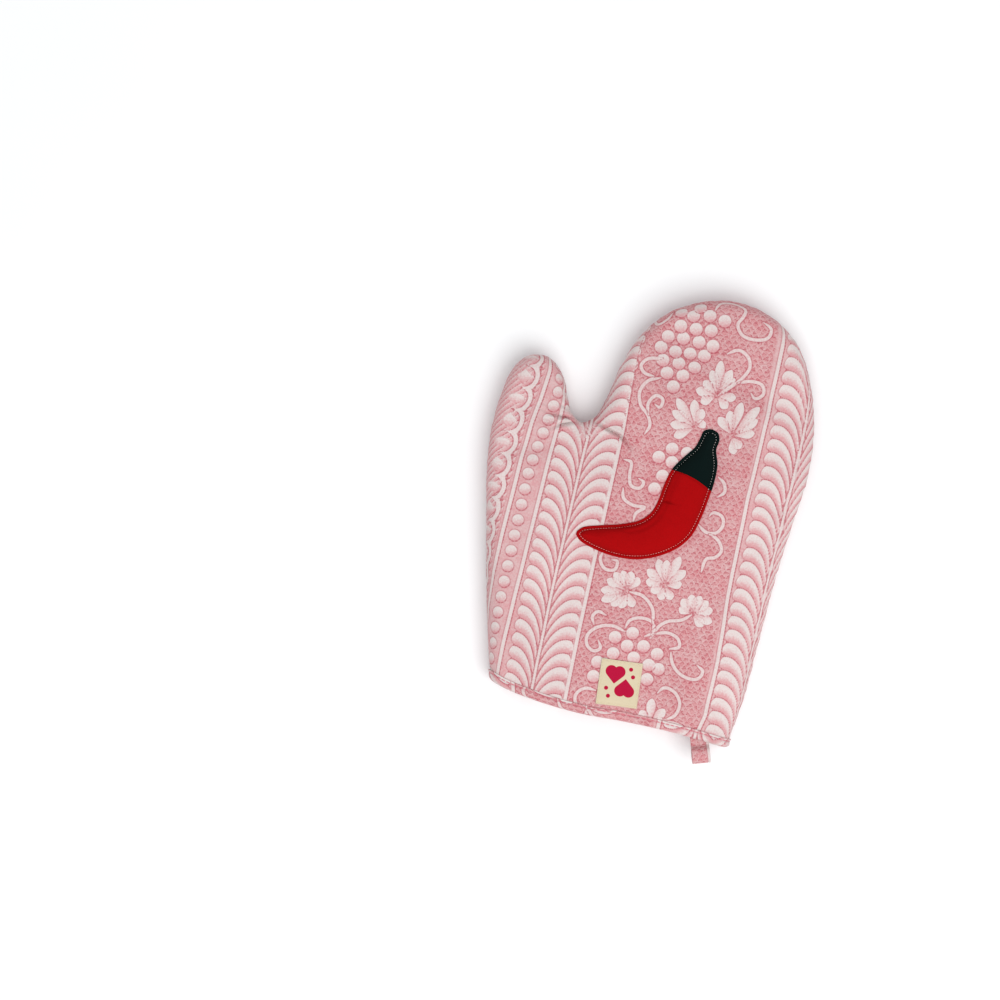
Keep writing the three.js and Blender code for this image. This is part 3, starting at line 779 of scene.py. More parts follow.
def in_print(plan):
    """Plan points of the front cover as places in the print."""
    c, s = math.cos(PRINT_TURN), math.sin(PRINT_TURN)
    return np.column_stack([plan[:, 0] * c + plan[:, 1] * s, plan[:, 1] * c - plan[:, 0] * s])


# ---------------------------------------------------------------- materials

def linear(red, green, blue):
    """A colour picked on a screen, 0 to 255, as the shader wants it."""
    parts = (red / 255, green / 255, blue / 255)
    return tuple(c / 12.92 if c <= 0.04045 else ((c + 0.055) / 1.055) ** 2.4 for c in parts)


class Nodes:
    """A short way to build a node tree."""

    def __init__(self, tree):
        self.tree = tree
        tree.nodes.clear()

    def add(self, kind, inputs=None, **settings):
        node = self.tree.nodes.new(kind)
        for name, value in settings.items():
            setattr(node, name, value)
        for name, value in (inputs or {}).items():
            if isinstance(value, bpy.types.NodeSocket):
                self.tree.links.new(value, node.inputs[name])
            else:
                node.inputs[name].default_value = value
        return node

    def math(self, operation, a, b=0.0, clamp=False):
        return self.add("ShaderNodeMath", {0: a, 1: b}, operation=operation, use_clamp=clamp).outputs[0]

    def step(self, value, low, high, out_low=0.0, out_high=1.0):
        """A smooth step from out_low to out_high."""
        inputs = {"Value": value, "From Min": low, "From Max": high, "To Min": out_low, "To Max": out_high}
        return self.add("ShaderNodeMapRange", inputs, interpolation_type="SMOOTHSTEP").outputs["Result"]

    def mix(self, share, a, b, blend="MIX"):
        node = self.add("ShaderNodeMix", data_type="RGBA", blend_type=blend, clamp_factor=True)
        for name, value in (("Factor_Float", share), ("A_Color", a), ("B_Color", b)):
            socket = next(s for s in node.inputs if s.identifier == name)
            if isinstance(value, bpy.types.NodeSocket):
                self.tree.links.new(value, socket)
            else:
                socket.default_value = value
        return next(s for s in node.outputs if s.identifier == "Result_Color")

    def noise(self, where, scale, detail=2.0, roughness=0.5):
        inputs = {"Vector": where, "Scale": scale, "Detail": detail, "Roughness": roughness}
        return self.add("ShaderNodeTexNoise", inputs).outputs["Fac"]

    def millimetres(self, metres, turn):
        """Places in metres as millimetres, turned flat on the mitt."""
        inputs = {"Vector": metres, "Rotation": (0, 0, turn), "Scale": (1000, 1000, 1000)}
        return self.add("ShaderNodeMapping", inputs).outputs[0]

    def value(self, name):
        return self.add("ShaderNodeAttribute", attribute_name=name).outputs["Fac"]

    def group(self, tree, inputs):
        return self.add("ShaderNodeGroup", inputs, node_tree=tree).outputs


def new_group(name, inputs, outputs):
    """A shader node group with its sockets: labels, kinds, and the inputs' values."""
    tree = bpy.data.node_groups.new(name, "ShaderNodeTree")
    for label, kind, value in inputs:
        socket = tree.interface.new_socket(label, in_out="INPUT", socket_type=kind)
        if value is not None:
            socket.default_value = value
    for label, kind in outputs:
        tree.interface.new_socket(label, in_out="OUTPUT", socket_type=kind)
    nodes = Nodes(tree)
    return tree, nodes, nodes.add("NodeGroupInput").outputs, nodes.add("NodeGroupOutput").inputs


def weave_group():
    """Plain-woven yarns: their height, and a mask of slubs and stray fibres. Works in millimetres."""
    tree, nodes, given, out = new_group(
        "Plain weave",
        [
            ("Place", "NodeSocketVector", None),
            ("Pitch", "NodeSocketFloat", 0.55),
            ("Slubs", "NodeSocketFloat", 0.5),
        ],
        [("Height", "NodeSocketFloat"), ("Fibres", "NodeSocketFloat")],
    )
    parts = nodes.add("ShaderNodeSeparateXYZ", {0: given["Place"]}).outputs
    turn = nodes.math("DIVIDE", math.tau / 2, given["Pitch"])
    warp = nodes.math("SINE", nodes.math("MULTIPLY", parts[0], turn))
    weft = nodes.math("SINE", nodes.math("MULTIPLY", parts[1], turn))
    over = nodes.math("MULTIPLY", warp, weft)
    slub = nodes.noise(given["Place"], 0.9, 4.0, 0.65)
    fibre = nodes.noise(given["Place"], 3.4, 3.0, 0.7)
    slubs = nodes.math("MULTIPLY", slub, given["Slubs"])
    mixed = nodes.math("ADD", slubs, nodes.math("MULTIPLY", fibre, 0.5))
    height = nodes.math("ADD", nodes.math("MULTIPLY", over, 0.35), mixed)
    nodes.tree.links.new(height, out["Height"])
    nodes.tree.links.new(mixed, out["Fibres"])
    return tree


def clamshells(nodes, place):
    """Rows of small quilted arches: a mask of the shade under each, and one of the pale lines between."""
    swirl = nodes.add("ShaderNodeTexNoise", {"Vector": place, "Scale": 0.3, "Detail": 2.0}).outputs["Color"]
    moved = nodes.add("ShaderNodeVectorMath", {0: swirl, "Scale": 4.6}, operation="SCALE").outputs[0]
    moved = nodes.add("ShaderNodeVectorMath", {0: place, 1: moved}, operation="ADD").outputs[0]
    parts = nodes.add("ShaderNodeSeparateXYZ", {0: moved}).outputs
    up = nodes.math("DIVIDE", parts[1], 3.0)
    shift = nodes.math("MULTIPLY", nodes.math("FLOOR", up), 0.5)
    across = nodes.math("ADD", nodes.math("DIVIDE", parts[0], 4.4), shift)
    x = nodes.math("SUBTRACT", nodes.math("FRACT", across), 0.5)
    y = nodes.math("FRACT", up)
    arch = nodes.math("SUBTRACT", 1.0, nodes.math("MULTIPLY", nodes.math("ABSOLUTE", x), 1.7))
    under = nodes.math("SUBTRACT", arch, y)
    light = nodes.step(nodes.math("ABSOLUTE", under), 0.04, 0.2, 1.0, 0.0)
    rows = nodes.math("SINE", nodes.math("MULTIPLY", parts[1], math.tau / 1.2))
    hatch = nodes.step(rows, -0.6, 0.5, 0.4, 1.0)
    dark = nodes.math("MULTIPLY", nodes.step(under, 0.1, 0.35), nodes.step(under, 0.45, 0.95, 1.0, 0.35))
    return nodes.math("MULTIPLY", dark, hatch), light


def print_group():
    """The quilting print: pale and rose cloth with shaded white figures and lines of mock stitching."""
    colours = [(name, "NodeSocketColor", None) for name in ("White", "Pink", "Ground", "Rose")]
    values = [(name, "NodeSocketFloat", 0.0) for name in ("Motif", "Tone", "Stitch", "Dash", "Vine")]
    inputs = [("Place", "NodeSocketVector", None), *values, *colours]
    tree, nodes, given, out = new_group("Quilting print", inputs, [("Colour", "NodeSocketColor")])
    place = given["Place"]
    blot = nodes.noise(place, 0.11, 3.0, 0.6)
    grain = nodes.noise(place, 0.75, 3.0, 0.65)
    dark, light = clamshells(nodes, place)
    stipple = nodes.step(nodes.noise(place, 1.3, 2.0, 0.6), 0.52, 0.66, 0.0, 0.55)
    dark = nodes.math("MULTIPLY", dark, nodes.step(grain, 0.36, 0.56, 0.35, 1.0))
    dark = nodes.math("MAXIMUM", dark, stipple)
    pale = nodes.mix(nodes.step(blot, 0.3, 0.7, 0.1, 0.4), given["Ground"], given["White"])
    vine = nodes.mix(nodes.math("MULTIPLY", dark, 0.85), pale, given["Rose"])
    light = nodes.math("MULTIPLY", light, nodes.step(grain, 0.3, 0.6, 0.05, 0.35))
    vine = nodes.mix(light, vine, given["White"])
    pale = nodes.mix(0.5, given["Pink"], given["White"])
    plain = nodes.mix(nodes.step(nodes.math("ADD", blot, grain), 0.8, 1.3), pale, given["Pink"])
    ground = nodes.mix(given["Vine"], plain, vine)
    shade = nodes.math("ADD", given["Tone"], nodes.math("MULTIPLY", nodes.math("SUBTRACT", grain, 0.5), 1.3))
    figure = nodes.mix(nodes.step(shade, 0.08, 1.12), given["Pink"], given["White"])
    colour = nodes.mix(nodes.step(given["Motif"], -0.25, 0.25), ground, figure)
    wave = nodes.math("SINE", nodes.math("MULTIPLY", given["Dash"], math.tau / 2.4))
    dash = nodes.step(wave, -0.75, 0.1, 0.62, 1.0)
    line = nodes.math("MULTIPLY", nodes.step(given["Stitch"], 0.3, 0.62, 1.0, 0.0), dash)
    edge = nodes.step(nodes.math("ABSOLUTE", nodes.math("ADD", given["Motif"], 0.3)), 0.15, 0.7, 0.5, 0.0)
    line = nodes.math("MULTIPLY", nodes.math("MAXIMUM", line, edge), nodes.step(grain, 0.3, 0.55, 0.7, 1.0))
    colour = nodes.mix(nodes.math("MULTIPLY", line, 0.8), colour, given["Rose"])
    nodes.tree.links.new(colour, out["Colour"])
    return tree


def wear_group():
    """Slight fading, as a factor for the colour. Works in metres."""
    tree, nodes, given, out = new_group(
        "Cotton fading",
        [("Place", "NodeSocketVector", None), ("Amount", "NodeSocketFloat", 0.1)],
        [("Factor", "NodeSocketColor")],
    )
    broad = nodes.noise(given["Place"], 28.0, 3.0, 0.55)
    swing = nodes.math("MULTIPLY", nodes.math("SUBTRACT", broad, 0.5), given["Amount"])
    nodes.tree.links.new(nodes.math("ADD", 1.0, nodes.math("MULTIPLY", swing, 2.0)), out["Factor"])
    return tree


def shared(name, make):
    """A node group built once."""
    return bpy.data.node_groups.get(name) or make()


def finish_cloth(material, nodes, colour, weave, depth, roughness, sheen, tint, gloss=0.2):
    """The shader of a cotton surface: colour thinned by fibres, weave in its normal, and a soft sheen."""
    height, fibres = weave["Height"], weave["Fibres"]
    coarse = nodes.step(fibres, 0.25, 0.75, 0.9, 1.08)
    thinned = nodes.add("ShaderNodeCombineColor", {0: coarse, 1: coarse, 2: coarse}).outputs[0]
    colour = nodes.mix(1.0, colour, thinned, "MULTIPLY")
    metres = nodes.add("ShaderNodeTexCoord").outputs["Object"]
    fading = nodes.group(shared("Cotton fading", wear_group), {"Place": metres, "Amount": 0.08})["Factor"]
    colour = nodes.mix(1.0, colour, fading, "MULTIPLY")
    bump = nodes.add("ShaderNodeBump", {"Height": height, "Strength": 0.5, "Distance": depth})
    rough = nodes.step(fibres, 0.2, 0.8, roughness - 0.06, roughness + 0.05)
    inputs = {"Base Color": colour, "Roughness": rough, "Normal": bump.outputs["Normal"]}
    shader = nodes.add("ShaderNodeBsdfPrincipled", inputs)
    shader.inputs["Sheen Weight"].default_value = sheen
    shader.inputs["Sheen Roughness"].default_value = 0.5
    shader.inputs["Sheen Tint"].default_value = (*tint, 1)
    shader.inputs["Specular IOR Level"].default_value = gloss
    nodes.add("ShaderNodeOutputMaterial", {"Surface": shader.outputs["BSDF"]})
    material.diffuse_color = (*tint, 1)
    return material


def new_material(name):
    """A material with an empty node tree."""
    material = bpy.data.materials.new(name)
    material.use_nodes = True
    return material, Nodes(material.node_tree)


def printed_cotton():
    """The quilting print on woven cotton, made once."""
    material = bpy.data.materials.get("Printed cotton")
    if material:
        return material
    colours = bpy.context.scene.mitt_colours
    material, nodes = new_material("Printed cotton")
    own = {0: nodes.value("cloth_u"), 1: nodes.value("cloth_v")}
    place = nodes.add("ShaderNodeCombineXYZ", own).outputs[0]
    inputs = {"Place": place, "Motif": nodes.value("motif"), "Tone": nodes.value("tone")}
    inputs |= {"Stitch": nodes.value("stitch"), "Dash": nodes.value("dash"), "Vine": nodes.value("ground")}
    for name in ("White", "Pink", "Ground", "Rose"):
        inputs[name] = (*getattr(colours, name.lower()), 1)
    colour = nodes.group(shared("Quilting print", print_group), inputs)["Colour"]
    weave = nodes.group(shared("Plain weave", weave_group), {"Place": place, "Pitch": 0.5, "Slubs": 0.6})
    return finish_cloth(material, nodes, colour, weave, 0.0002, 0.9, 0.12, colours.white)


def plain_cotton(name, colour, pitch=0.55, sheen=0.15, roughness=0.88, depth=0.0002, gloss=0.2):
    """Plain-dyed cotton, woven along the object's own axes."""
    material = bpy.data.materials.get(name)
    if material:
        return material
    material, nodes = new_material(name)
    metres = nodes.add("ShaderNodeTexCoord").outputs["Object"]
    inputs = {"Place": nodes.millimetres(metres, 0.35), "Pitch": pitch, "Slubs": 0.8}
    weave = nodes.group(shared("Plain weave", weave_group), inputs)
    flat = nodes.mix(nodes.step(weave["Fibres"], 0.45, 0.85, 0.0, 0.2), (*colour, 1), (*brighter(colour), 1))
    return finish_cloth(material, nodes, flat, weave, depth, roughness, sheen, colour, gloss)


def brighter(colour, times=1.2):
    """A colour some times as bright, up to full."""
    return tuple(min(1.0, c * times) for c in colour)


def label_cotton():
    """Cream cotton with two hearts and some dots printed on it."""
    colours = bpy.context.scene.mitt_colours
    material, nodes = new_material("Label cotton")
    metres = nodes.add("ShaderNodeTexCoord").outputs["Object"]
    inputs = {"Place": nodes.millimetres(metres, -0.1), "Pitch": 0.6, "Slubs": 1.0}
    weave = nodes.group(shared("Plain weave", weave_group), inputs)
    ink = nodes.step(nodes.value("motif"), -0.12, 0.12)
    worn = nodes.math("MULTIPLY", ink, nodes.step(weave["Fibres"], 0.25, 0.6, 0.75, 1.0))
    colour = nodes.mix(worn, (*colours.label, 1), (*colours.ink, 1))
    return finish_cloth(material, nodes, colour, weave, 0.0003, 0.92, 0.1, colours.label)


# ---------------------------------------------------------------- pieces

COVER_COLUMNS = 1080  # points of a cover's mesh along the side seam
COVER_RINGS = 17  # and across its rolled edge
SEAM_GAP = 0.02  # half the gap between front and back along the side seam, in mm


def add_layer(side, kind, plans, depths, material, tuck=0.0, pucker=0.0):
    """One fabric or wadding layer of one panel, as a palm and finger piece and a thumb piece."""
    name = "front" if side > 0 else "back"
    (outer, inner), (top, bottom) = plans, depths
    points_out, cloth = outer.surface(side, top, tuck, pucker)
    points_in, cloth_in = inner.surface(side, bottom, tuck, pucker * 0.6)
    (faces_out, thumb_out), (faces_in, thumb_in) = outer.triangles(), inner.triangles()
    count, outside = outer.shared(), len(points_out)
    everything = np.vstack([points_out, points_in])
    normals = corner_normals(everything, np.vstack([faces_out, faces_in[:, ::-1] + outside]))
    cloth = np.vstack([cloth, cloth_in])
    pieces = []
    for part, keep_out, keep_in in (("palm", ~thumb_out, ~thumb_in), ("thumb", thumb_out, thumb_in)):
        used, faces = shell(faces_out, faces_in, keep_out, keep_in, outside, count)
        if side < 0:
            faces = faces[:, ::-1]
        piece = new_mesh(f"{name}_{kind}_of_{part}", everything[used], faces)
        if kind == "cover":
            places = in_print(cloth[used])
            if side < 0:
                places[:, 0] = BACK_FLIP - places[:, 0]
            print_on(piece, places)
            piece.data.normals_split_custom_set_from_vertices(side * normals[used])
        link_once(piece, material)
        pieces.append(piece)
    palm, thumb = pieces
    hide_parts(f"{name}_{kind}_palm", f"{name}_{kind}_fingers")
    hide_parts(f"{name}_{kind}_thumb")
    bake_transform(palm)
    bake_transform(thumb)


def mouth(inset, depth, stations):
    """A line round the mouth of the mitt, inset mm in from the cuff's edge and depth mm below the faces."""
    rim, inward = outline_from(inset, 400)
    corner = EDGE_RADIUS - depth
    angles = np.linspace(-math.pi / 2, math.pi / 2, stations[1])
    lines = []
    for end in (0, -1):
        turned = angles if end == 0 else -angles
        away = EDGE_RADIUS - corner * np.cos(turned)
        plan = rim[end] + away[:, None] * inward[end]
        plan[:, 1] = cuff_y(plan[:, 0]) + inset
        points = np.zeros((len(angles), 3))
        for side in (1, -1):
            where = np.sign(turned + 1e-9) == side
            lift = relief(plan[where], side)[:, 2] * np.sin(turned[where]) ** 2
            height = (SEAM_Z - depth) * np.abs(np.sin(turned[where])) + lift
            points[where] = np.column_stack([plan[where], SEAM_Z + side * height])
        lines.append(points)
    left, right = lines
    ends = left[-1, 0], right[0, 0]
    x = np.linspace(*ends, stations[0] + 2)[1:-1]
    flat = np.column_stack([x, cuff_y(x) + inset])
    front = place_on(flat, 1, depth)
    back = place_on(flat[::-1], -1, depth)
    return np.vstack([left, front, right, back])


def binding_section():
    """The binding's folded section as (inset, depth) pairs: over the front, round the edge, and inside."""
    leg = [
        (6.05, -0.15), (6.12, -0.5), (6.0, -0.82), (5.7, -0.98), (5.3, -0.95), (4.95, -0.72),
        (4.65, -0.28), (4.4, -0.12), (4.15, -0.28), (3.8, -0.6), (3.2, -0.78), (2.6, -0.82),
    ]
    turns = np.linspace(0.15, math.pi - 0.15, 15)
    fold = [(2.2 - 2.6 * math.sin(t), 3.1 - 3.9 * math.cos(t)) for t in turns]
    inside = [(2.6, 7.02), (3.8, 6.95), (4.4, 6.75), (5.2, 6.95), (5.9, 6.95), (6.05, 6.6), (5.9, 6.38)]
    lining = [(4.6, 6.35), (3.2, 6.3), (2.4, 6.1)]
    hollow = [(2.3 - 1.6 * math.sin(t), 3.1 - 3.0 * math.cos(t)) for t in np.linspace(math.pi - 0.3, 0.3, 9)]
    return [*leg, *fold, *inside, *lining, *hollow, (3.2, 0.35), (4.5, 0.3), (4.9, -0.06), (5.6, -0.08)]


def stitch_model(length, width):
    """The mesh of one stitch along X, modelled from a sphere and read back as points and triangles."""
    bpy.ops.object.select_all(action="DESELECT")
    bpy.ops.mesh.primitive_uv_sphere_add(segments=8, ring_count=6, radius=0.5)
    thing = bpy.context.object
    bpy.ops.transform.rotate(value=math.pi / 2, orient_axis="Y", center_override=(0, 0, 0))
    bpy.ops.transform.resize(value=(length, width, width * 0.8))
    bpy.ops.object.transform_apply(location=False, rotation=True, scale=True)
    bpy.ops.object.mode_set(mode="EDIT")
    bpy.ops.mesh.select_all(action="SELECT")
    bpy.ops.mesh.quads_convert_to_tris()
    bpy.ops.mesh.normals_make_consistent(inside=False)
    bpy.ops.object.mode_set(mode="OBJECT")
    points = np.array([v.co[:] for v in thing.data.vertices])
    faces = np.array([p.vertices[:] for p in thing.data.polygons])
    points[:, 2] -= 0.9 * width * (np.abs(points[:, 0]) / length * 2) ** 3 * 0.5
    bpy.data.objects.remove(thing)
    return points, faces


def stitches(name, centres, ways, ups, length, width):
    """Many copies of one stitch as one mesh, each along its own way and standing on its own surface."""
    points, faces = stitch_model(length, width)
    ways = ways / np.linalg.norm(ways, axis=1)[:, None]
    across = np.cross(ups, ways)
    across /= np.linalg.norm(across, axis=1)[:, None]
    ups = np.cross(ways, across)
    axes = np.stack([ways, across, ups], axis=1)
    placed = np.einsum("pk,nkj->npj", points, axes) + centres[:, None, :]
    offsets = np.arange(len(centres))[:, None, None] * len(points)
    return new_mesh(name, placed.reshape(-1, 3), (faces[None] + offsets).reshape(-1, 3))


def along_line(line, gap, start=0.0):
    """Evenly spaced places on a 3-D line and the line's way at each."""
    along = lengths(line)
    at_places = np.arange(start, along[-1], gap)
    before, here, after = (
        np.stack([np.interp(at_places + d, along, line[:, k]) for k in range(3)], axis=1)
        for d in (-0.4, 0, 0.4)
    )
    return here, after - before


def chilli_edges(first, last, count):
    """Matching points on the chilli's two long edges, from one share of its length to another."""
    inner, outer = (curve_through(points, 0.5) + CHILLI_MOVE for points in (CHILLI_INNER, CHILLI_OUTER))
    joins = []
    for edge, join in ((inner, CAP_EDGE[0]), (outer, CAP_EDGE[-1])):
        where = np.argmin(np.linalg.norm(edge - join, axis=1))
        joins.append((edge, lengths(edge)[where] / lengths(edge)[-1]))
    shares = np.linspace(first, last, count)
    lines = []
    for edge, join in joins:
        along = np.interp(shares, (0, 1, 2), (0, join, 1)) * lengths(edge)[-1]
        lines.append(np.stack([np.interp(along, lengths(edge), edge[:, k]) for k in range(2)], axis=1))
    return lines


def chilli_height(points):
    """How high the applique stands over the cover, in mm."""
    edge, _ = to_path(points, _chilli_rim)
    join, _ = to_path(points, CAP_EDGE)
    fold = 1.45 * np.sqrt(1 - (1 - np.clip(edge / 1.1, 0, 1)) ** 2)
    groove = 1.15 * np.exp(-(((edge - CHILLI_STITCH) / 0.55) ** 2))
    # The padding rises more steeply along the thin end
    steep = 3.9 - 2.3 * np.exp(-(((points[:, 0] + 24) / 20) ** 2))
    crown = 5.2 * (1 - np.exp(-np.maximum(edge - CHILLI_STITCH, 0) / steep))
    valley = 0.8 * np.exp(-((join / 0.8) ** 2)) * (1 - np.exp(-edge / 1.5))
    crease = 1.95 * np.exp(-(((points[:, 0] - 3.5) / 5) ** 2) - (((points[:, 1] - 149) / 0.9) ** 2))
    inner_bend = np.exp(-(((points[:, 0] + 6) / 12) ** 2) - (((edge - 6.0) / 1.6) ** 2))
    crease += 1.0 * inner_bend * (points[:, 1] > 122)
    uneven = 0.22 * waves(points, 9, 21) * smoothstep(2.5, 6, edge)
    return np.maximum(fold + crown - groove - valley - crease + uneven, 0.12)


def closed_sheet(name, top, bottom, rows, columns):
    """A body between two faces with the same rows and columns of points."""
    count = rows * columns
    faces = lattice(rows, columns)
    index = np.arange(count).reshape(rows, columns)
    rim = np.concatenate([index[0], index[1:, -1], index[-1, -2::-1], index[-2:0:-1, 0]])
    after = np.roll(rim, -1)
    side = quads(after, rim, rim + count, after + count)
    triangles = np.vstack([faces, faces[:, ::-1] + count, side])
    return outward(new_mesh(name, np.vstack([top, bottom]), triangles))


def chilli_piece(name, first, last, rows, columns, edge, lower, sink):
    """A closed piece of the applique between two shares of its length, edge mm in from its rim."""
    inner, outer = chilli_edges(first, last, rows)
    shares = (1 - np.cos(np.linspace(0, math.pi, columns))) / 2
    plan = []
    for k, (a, b) in enumerate(zip(inner, outer)):
        width = np.linalg.norm(b - a)
        inset = min(edge / width, 0.45)
        across = inset + (1 - 2 * inset) * shares
        line = b + (a - b) * across[:, None]
        nearness = math.exp(-(((first + (last - first) * k / (rows - 1) - 1) / 0.12) ** 2))
        line[:, 1] += nearness * 1.9 * np.sin(math.pi * across)
        plan.append(line)
    plan = np.vstack(plan)
    base = place_on(plan, 1)
    top, bottom = base.copy(), base.copy()
    top[:, 2] += chilli_height(plan) - sink
    bottom[:, 2] += lower
    return closed_sheet(name, top, bottom, rows, columns)


def outward(thing):
    """Turns a closed mesh's faces outwards."""
    bpy.ops.object.select_all(action="DESELECT")
    bpy.context.view_layer.objects.active = thing
    thing.select_set(True)
    bpy.ops.object.mode_set(mode="EDIT")
    bpy.ops.mesh.select_all(action="SELECT")
    bpy.ops.mesh.normals_make_consistent(inside=False)
    bpy.ops.object.mode_set(mode="OBJECT")
    return thing


def heart_and_dots(points):
    """How far label points lie inside its printed figures, in mm."""
    inside = np.full(len(points), -2.0)
    for x, y, size, way in ((-3.6, 6.4, 5.6, 1), (4.0, -3.4, 5.6, -1)):
        dx, dy = points[:, 0] - x, (points[:, 1] - y) * way
        diamond = (size - np.abs(dx) - np.abs(dy + 0.25 * size)) / math.sqrt(2)
        for lobe in (-1, 1):
            reach = np.hypot(dx - lobe * size / 2, dy - size / 4)
            inside = np.maximum(inside, size / math.sqrt(2) - reach)
        inside = np.maximum(inside, diamond)
    for x, y in ((6.6, 10.4), (8.6, 5.4), (-6.4, -9.2), (-8.4, -4.0)):
        inside = np.maximum(inside, 1.4 - np.hypot(points[:, 0] - x, points[:, 1] - y))
    return inside


# ---------------------------------------------------------------- operators

class MittSizes(bpy.types.PropertyGroup):
    """Sizes that a user would change."""

    crease_depth: bpy.props.FloatProperty(
        name="Crease depth", description="Depth of the folds at the thumb, against how they lie now",
        default=1.0, min=0.0, max=2.0, subtype="FACTOR")
    pucker: bpy.props.FloatProperty(
        name="Seam pucker", description="Unevenness of the cloth along the side seam, in millimetres",
        default=0.35, min=0.0, max=1.5)
    swell: bpy.props.FloatProperty(
        name="Swell", description="The most that the padding may lift a cover, in millimetres",
        default=1.6, min=0.0, max=4.0)
    thread: bpy.props.FloatProperty(
        name="Thread width", description="Width of the sewing thread, in millimetres",
        default=0.55, min=0.2, max=1.2)
    camera_height: bpy.props.FloatProperty(
        name="Camera height", description="Height of the camera over the side seam",
        default=3.0, min=0.5, max=5.0, unit="LENGTH")


def colour_of(name, description, *screen):
    return bpy.props.FloatVectorProperty(
        name=name, description=description, default=linear(*screen), size=3,
        min=0.0, max=1.0, subtype="COLOR")


class MittColours(bpy.types.PropertyGroup):
    """Colours of the cloths and threads."""

    white: colour_of("White", "Lit parts of the printed figures", 212, 200, 197)
    pink: colour_of("Pink", "Shaded parts of the printed figures", 203, 145, 148)
    ground: colour_of("Ground", "Cloth between the figures", 198, 126, 130)
    rose: colour_of("Rose", "Lines of mock stitching", 168, 66, 80)
    red: colour_of("Red", "The chilli's pod", 154, 6, 9)
    green: colour_of("Green", "The chilli's cap", 8, 20, 19)
    lining: colour_of("Lining", "Plain cotton inside the mitt", 232, 224, 212)
    wadding: colour_of("Wadding", "Needled padding", 240, 236, 226)
    label: colour_of("Label", "Cream cotton tape", 200, 186, 158)
    ink: colour_of("Ink", "Figures printed on the label", 168, 8, 52)
    white_thread: colour_of("White thread", "Stitches round the chilli's cap", 206, 200, 194)
    stained_thread: colour_of("Stained thread", "Stitches round the chilli's pod", 244, 168, 164)
    rose_thread: colour_of("Rose thread", "Stitches of the cuff's binding", 204, 112, 126)


class MITT_OT_settle(bpy.types.Operator):
    """Lets the sewn panels swell and pucker as cloth"""

    bl_idname = "mitt.settle"
    bl_label = "Settle the Panels"

    def execute(self, context):
        measure_rim()
        plan = Plan(CUFF_START, 230, 4, 5.0, 5.0)
        faces, _ = plan.triangles()
        front, _ = plan.surface(1, 0.0)
        back, _ = plan.surface(-1, 0.0)
        count, seam = len(front), plan.columns
        behind = faces[:, ::-1] + count
        behind[behind < count + seam] -= count
        thing = new_mesh("settling_cloth", np.vstack([front, back]), np.vstack([faces, behind]))
        held = thing.vertex_groups.new(name="held")
        border = np.arange(plan.rings * plan.columns).reshape(plan.rings, -1)
        cuff = plan.rings * plan.columns + np.arange(len(plan.cuff))
        fixed = np.concatenate([border[0], border[:, 0], border[:, -1], cuff])
        held.add([int(i) for i in np.concatenate([fixed, fixed + count])], 1.0, "REPLACE")
        self.simulate(context, thing)
        moved = np.array([v.co[:] for v in thing.data.vertices]) / MM - np.array(SHIFT)
        moved -= np.vstack([front, back])
        bpy.data.objects.remove(thing)
        most = context.scene.mitt_sizes.swell
        for side, start in ((1, front), (-1, back)):
            change = moved[:count] if side > 0 else moved[count:]
            change = change * [1, 1, side]
            change *= np.minimum(1, most / np.maximum(np.linalg.norm(change, axis=1), 1e-6))[:, None]
            change[:seam] = 0
            field = Field()
            field.gather(start[:, :2], change, 4.0)
            _settled[side] = field
        return {"FINISHED"}

    def simulate(self, context, thing):
        """Runs the cloth for twenty frames, blown up a little, and keeps its last shape."""
        cloth = thing.modifiers.new("Cloth", "CLOTH")
        cloth.settings.quality = 5
        cloth.settings.mass = 0.3
        cloth.settings.use_pressure = True
        cloth.settings.uniform_pressure_force = 3.0
        cloth.settings.shrink_min = -0.02
        cloth.settings.vertex_group_mass = "held"
        cloth.settings.effector_weights.gravity = 0.0
        cloth.settings.tension_stiffness = 25
        cloth.settings.compression_stiffness = 25
        cloth.settings.bending_stiffness = 4
        cloth.point_cache.frame_start = 1
        cloth.point_cache.frame_end = 20
        for frame_number in range(1, 21):
            context.scene.frame_set(frame_number)
        bpy.ops.object.select_all(action="DESELECT")
        context.view_layer.objects.active = thing
        thing.select_set(True)
        bpy.ops.object.modifier_apply(modifier="Cloth")
        context.scene.frame_set(1)


class MITT_OT_covers(bpy.types.Operator):
    """Adds the printed cotton covers of both panels"""

    bl_idname = "mitt.covers"
    bl_label = "Add the Covers"

    def execute(self, context):
        pucker = context.scene.mitt_sizes.pucker
        cotton = printed_cotton()
        coarse = Plan(CUFF_START, COVER_COLUMNS, COVER_RINGS, 0.9, 4.5)
        for side, spacing in ((1, 0.9), (-1, 1.4)):
            plans = (Plan(CUFF_START, COVER_COLUMNS, COVER_RINGS, 0.9, spacing), coarse)
            add_layer(side, "cover", plans, COVER_DEPTHS, cotton, 0.5, pucker)
        return {"FINISHED"}


class MITT_OT_wadding(bpy.types.Operator):
    """Adds the wadding inside both panels"""

    bl_idname = "mitt.wadding"
    bl_label = "Add the Wadding"

    def execute(self, context):
        colours = context.scene.mitt_colours
        plan = Plan(WADDING_START, 320, 6, 3.0, 3.6)
        material = plain_cotton("Cotton wadding", colours.wadding, 1.9, 0.3, 0.97, 0.0006)
        for side in (1, -1):
            add_layer(side, "wadding", (plan, plan), WADDING_DEPTHS, material)
        return {"FINISHED"}


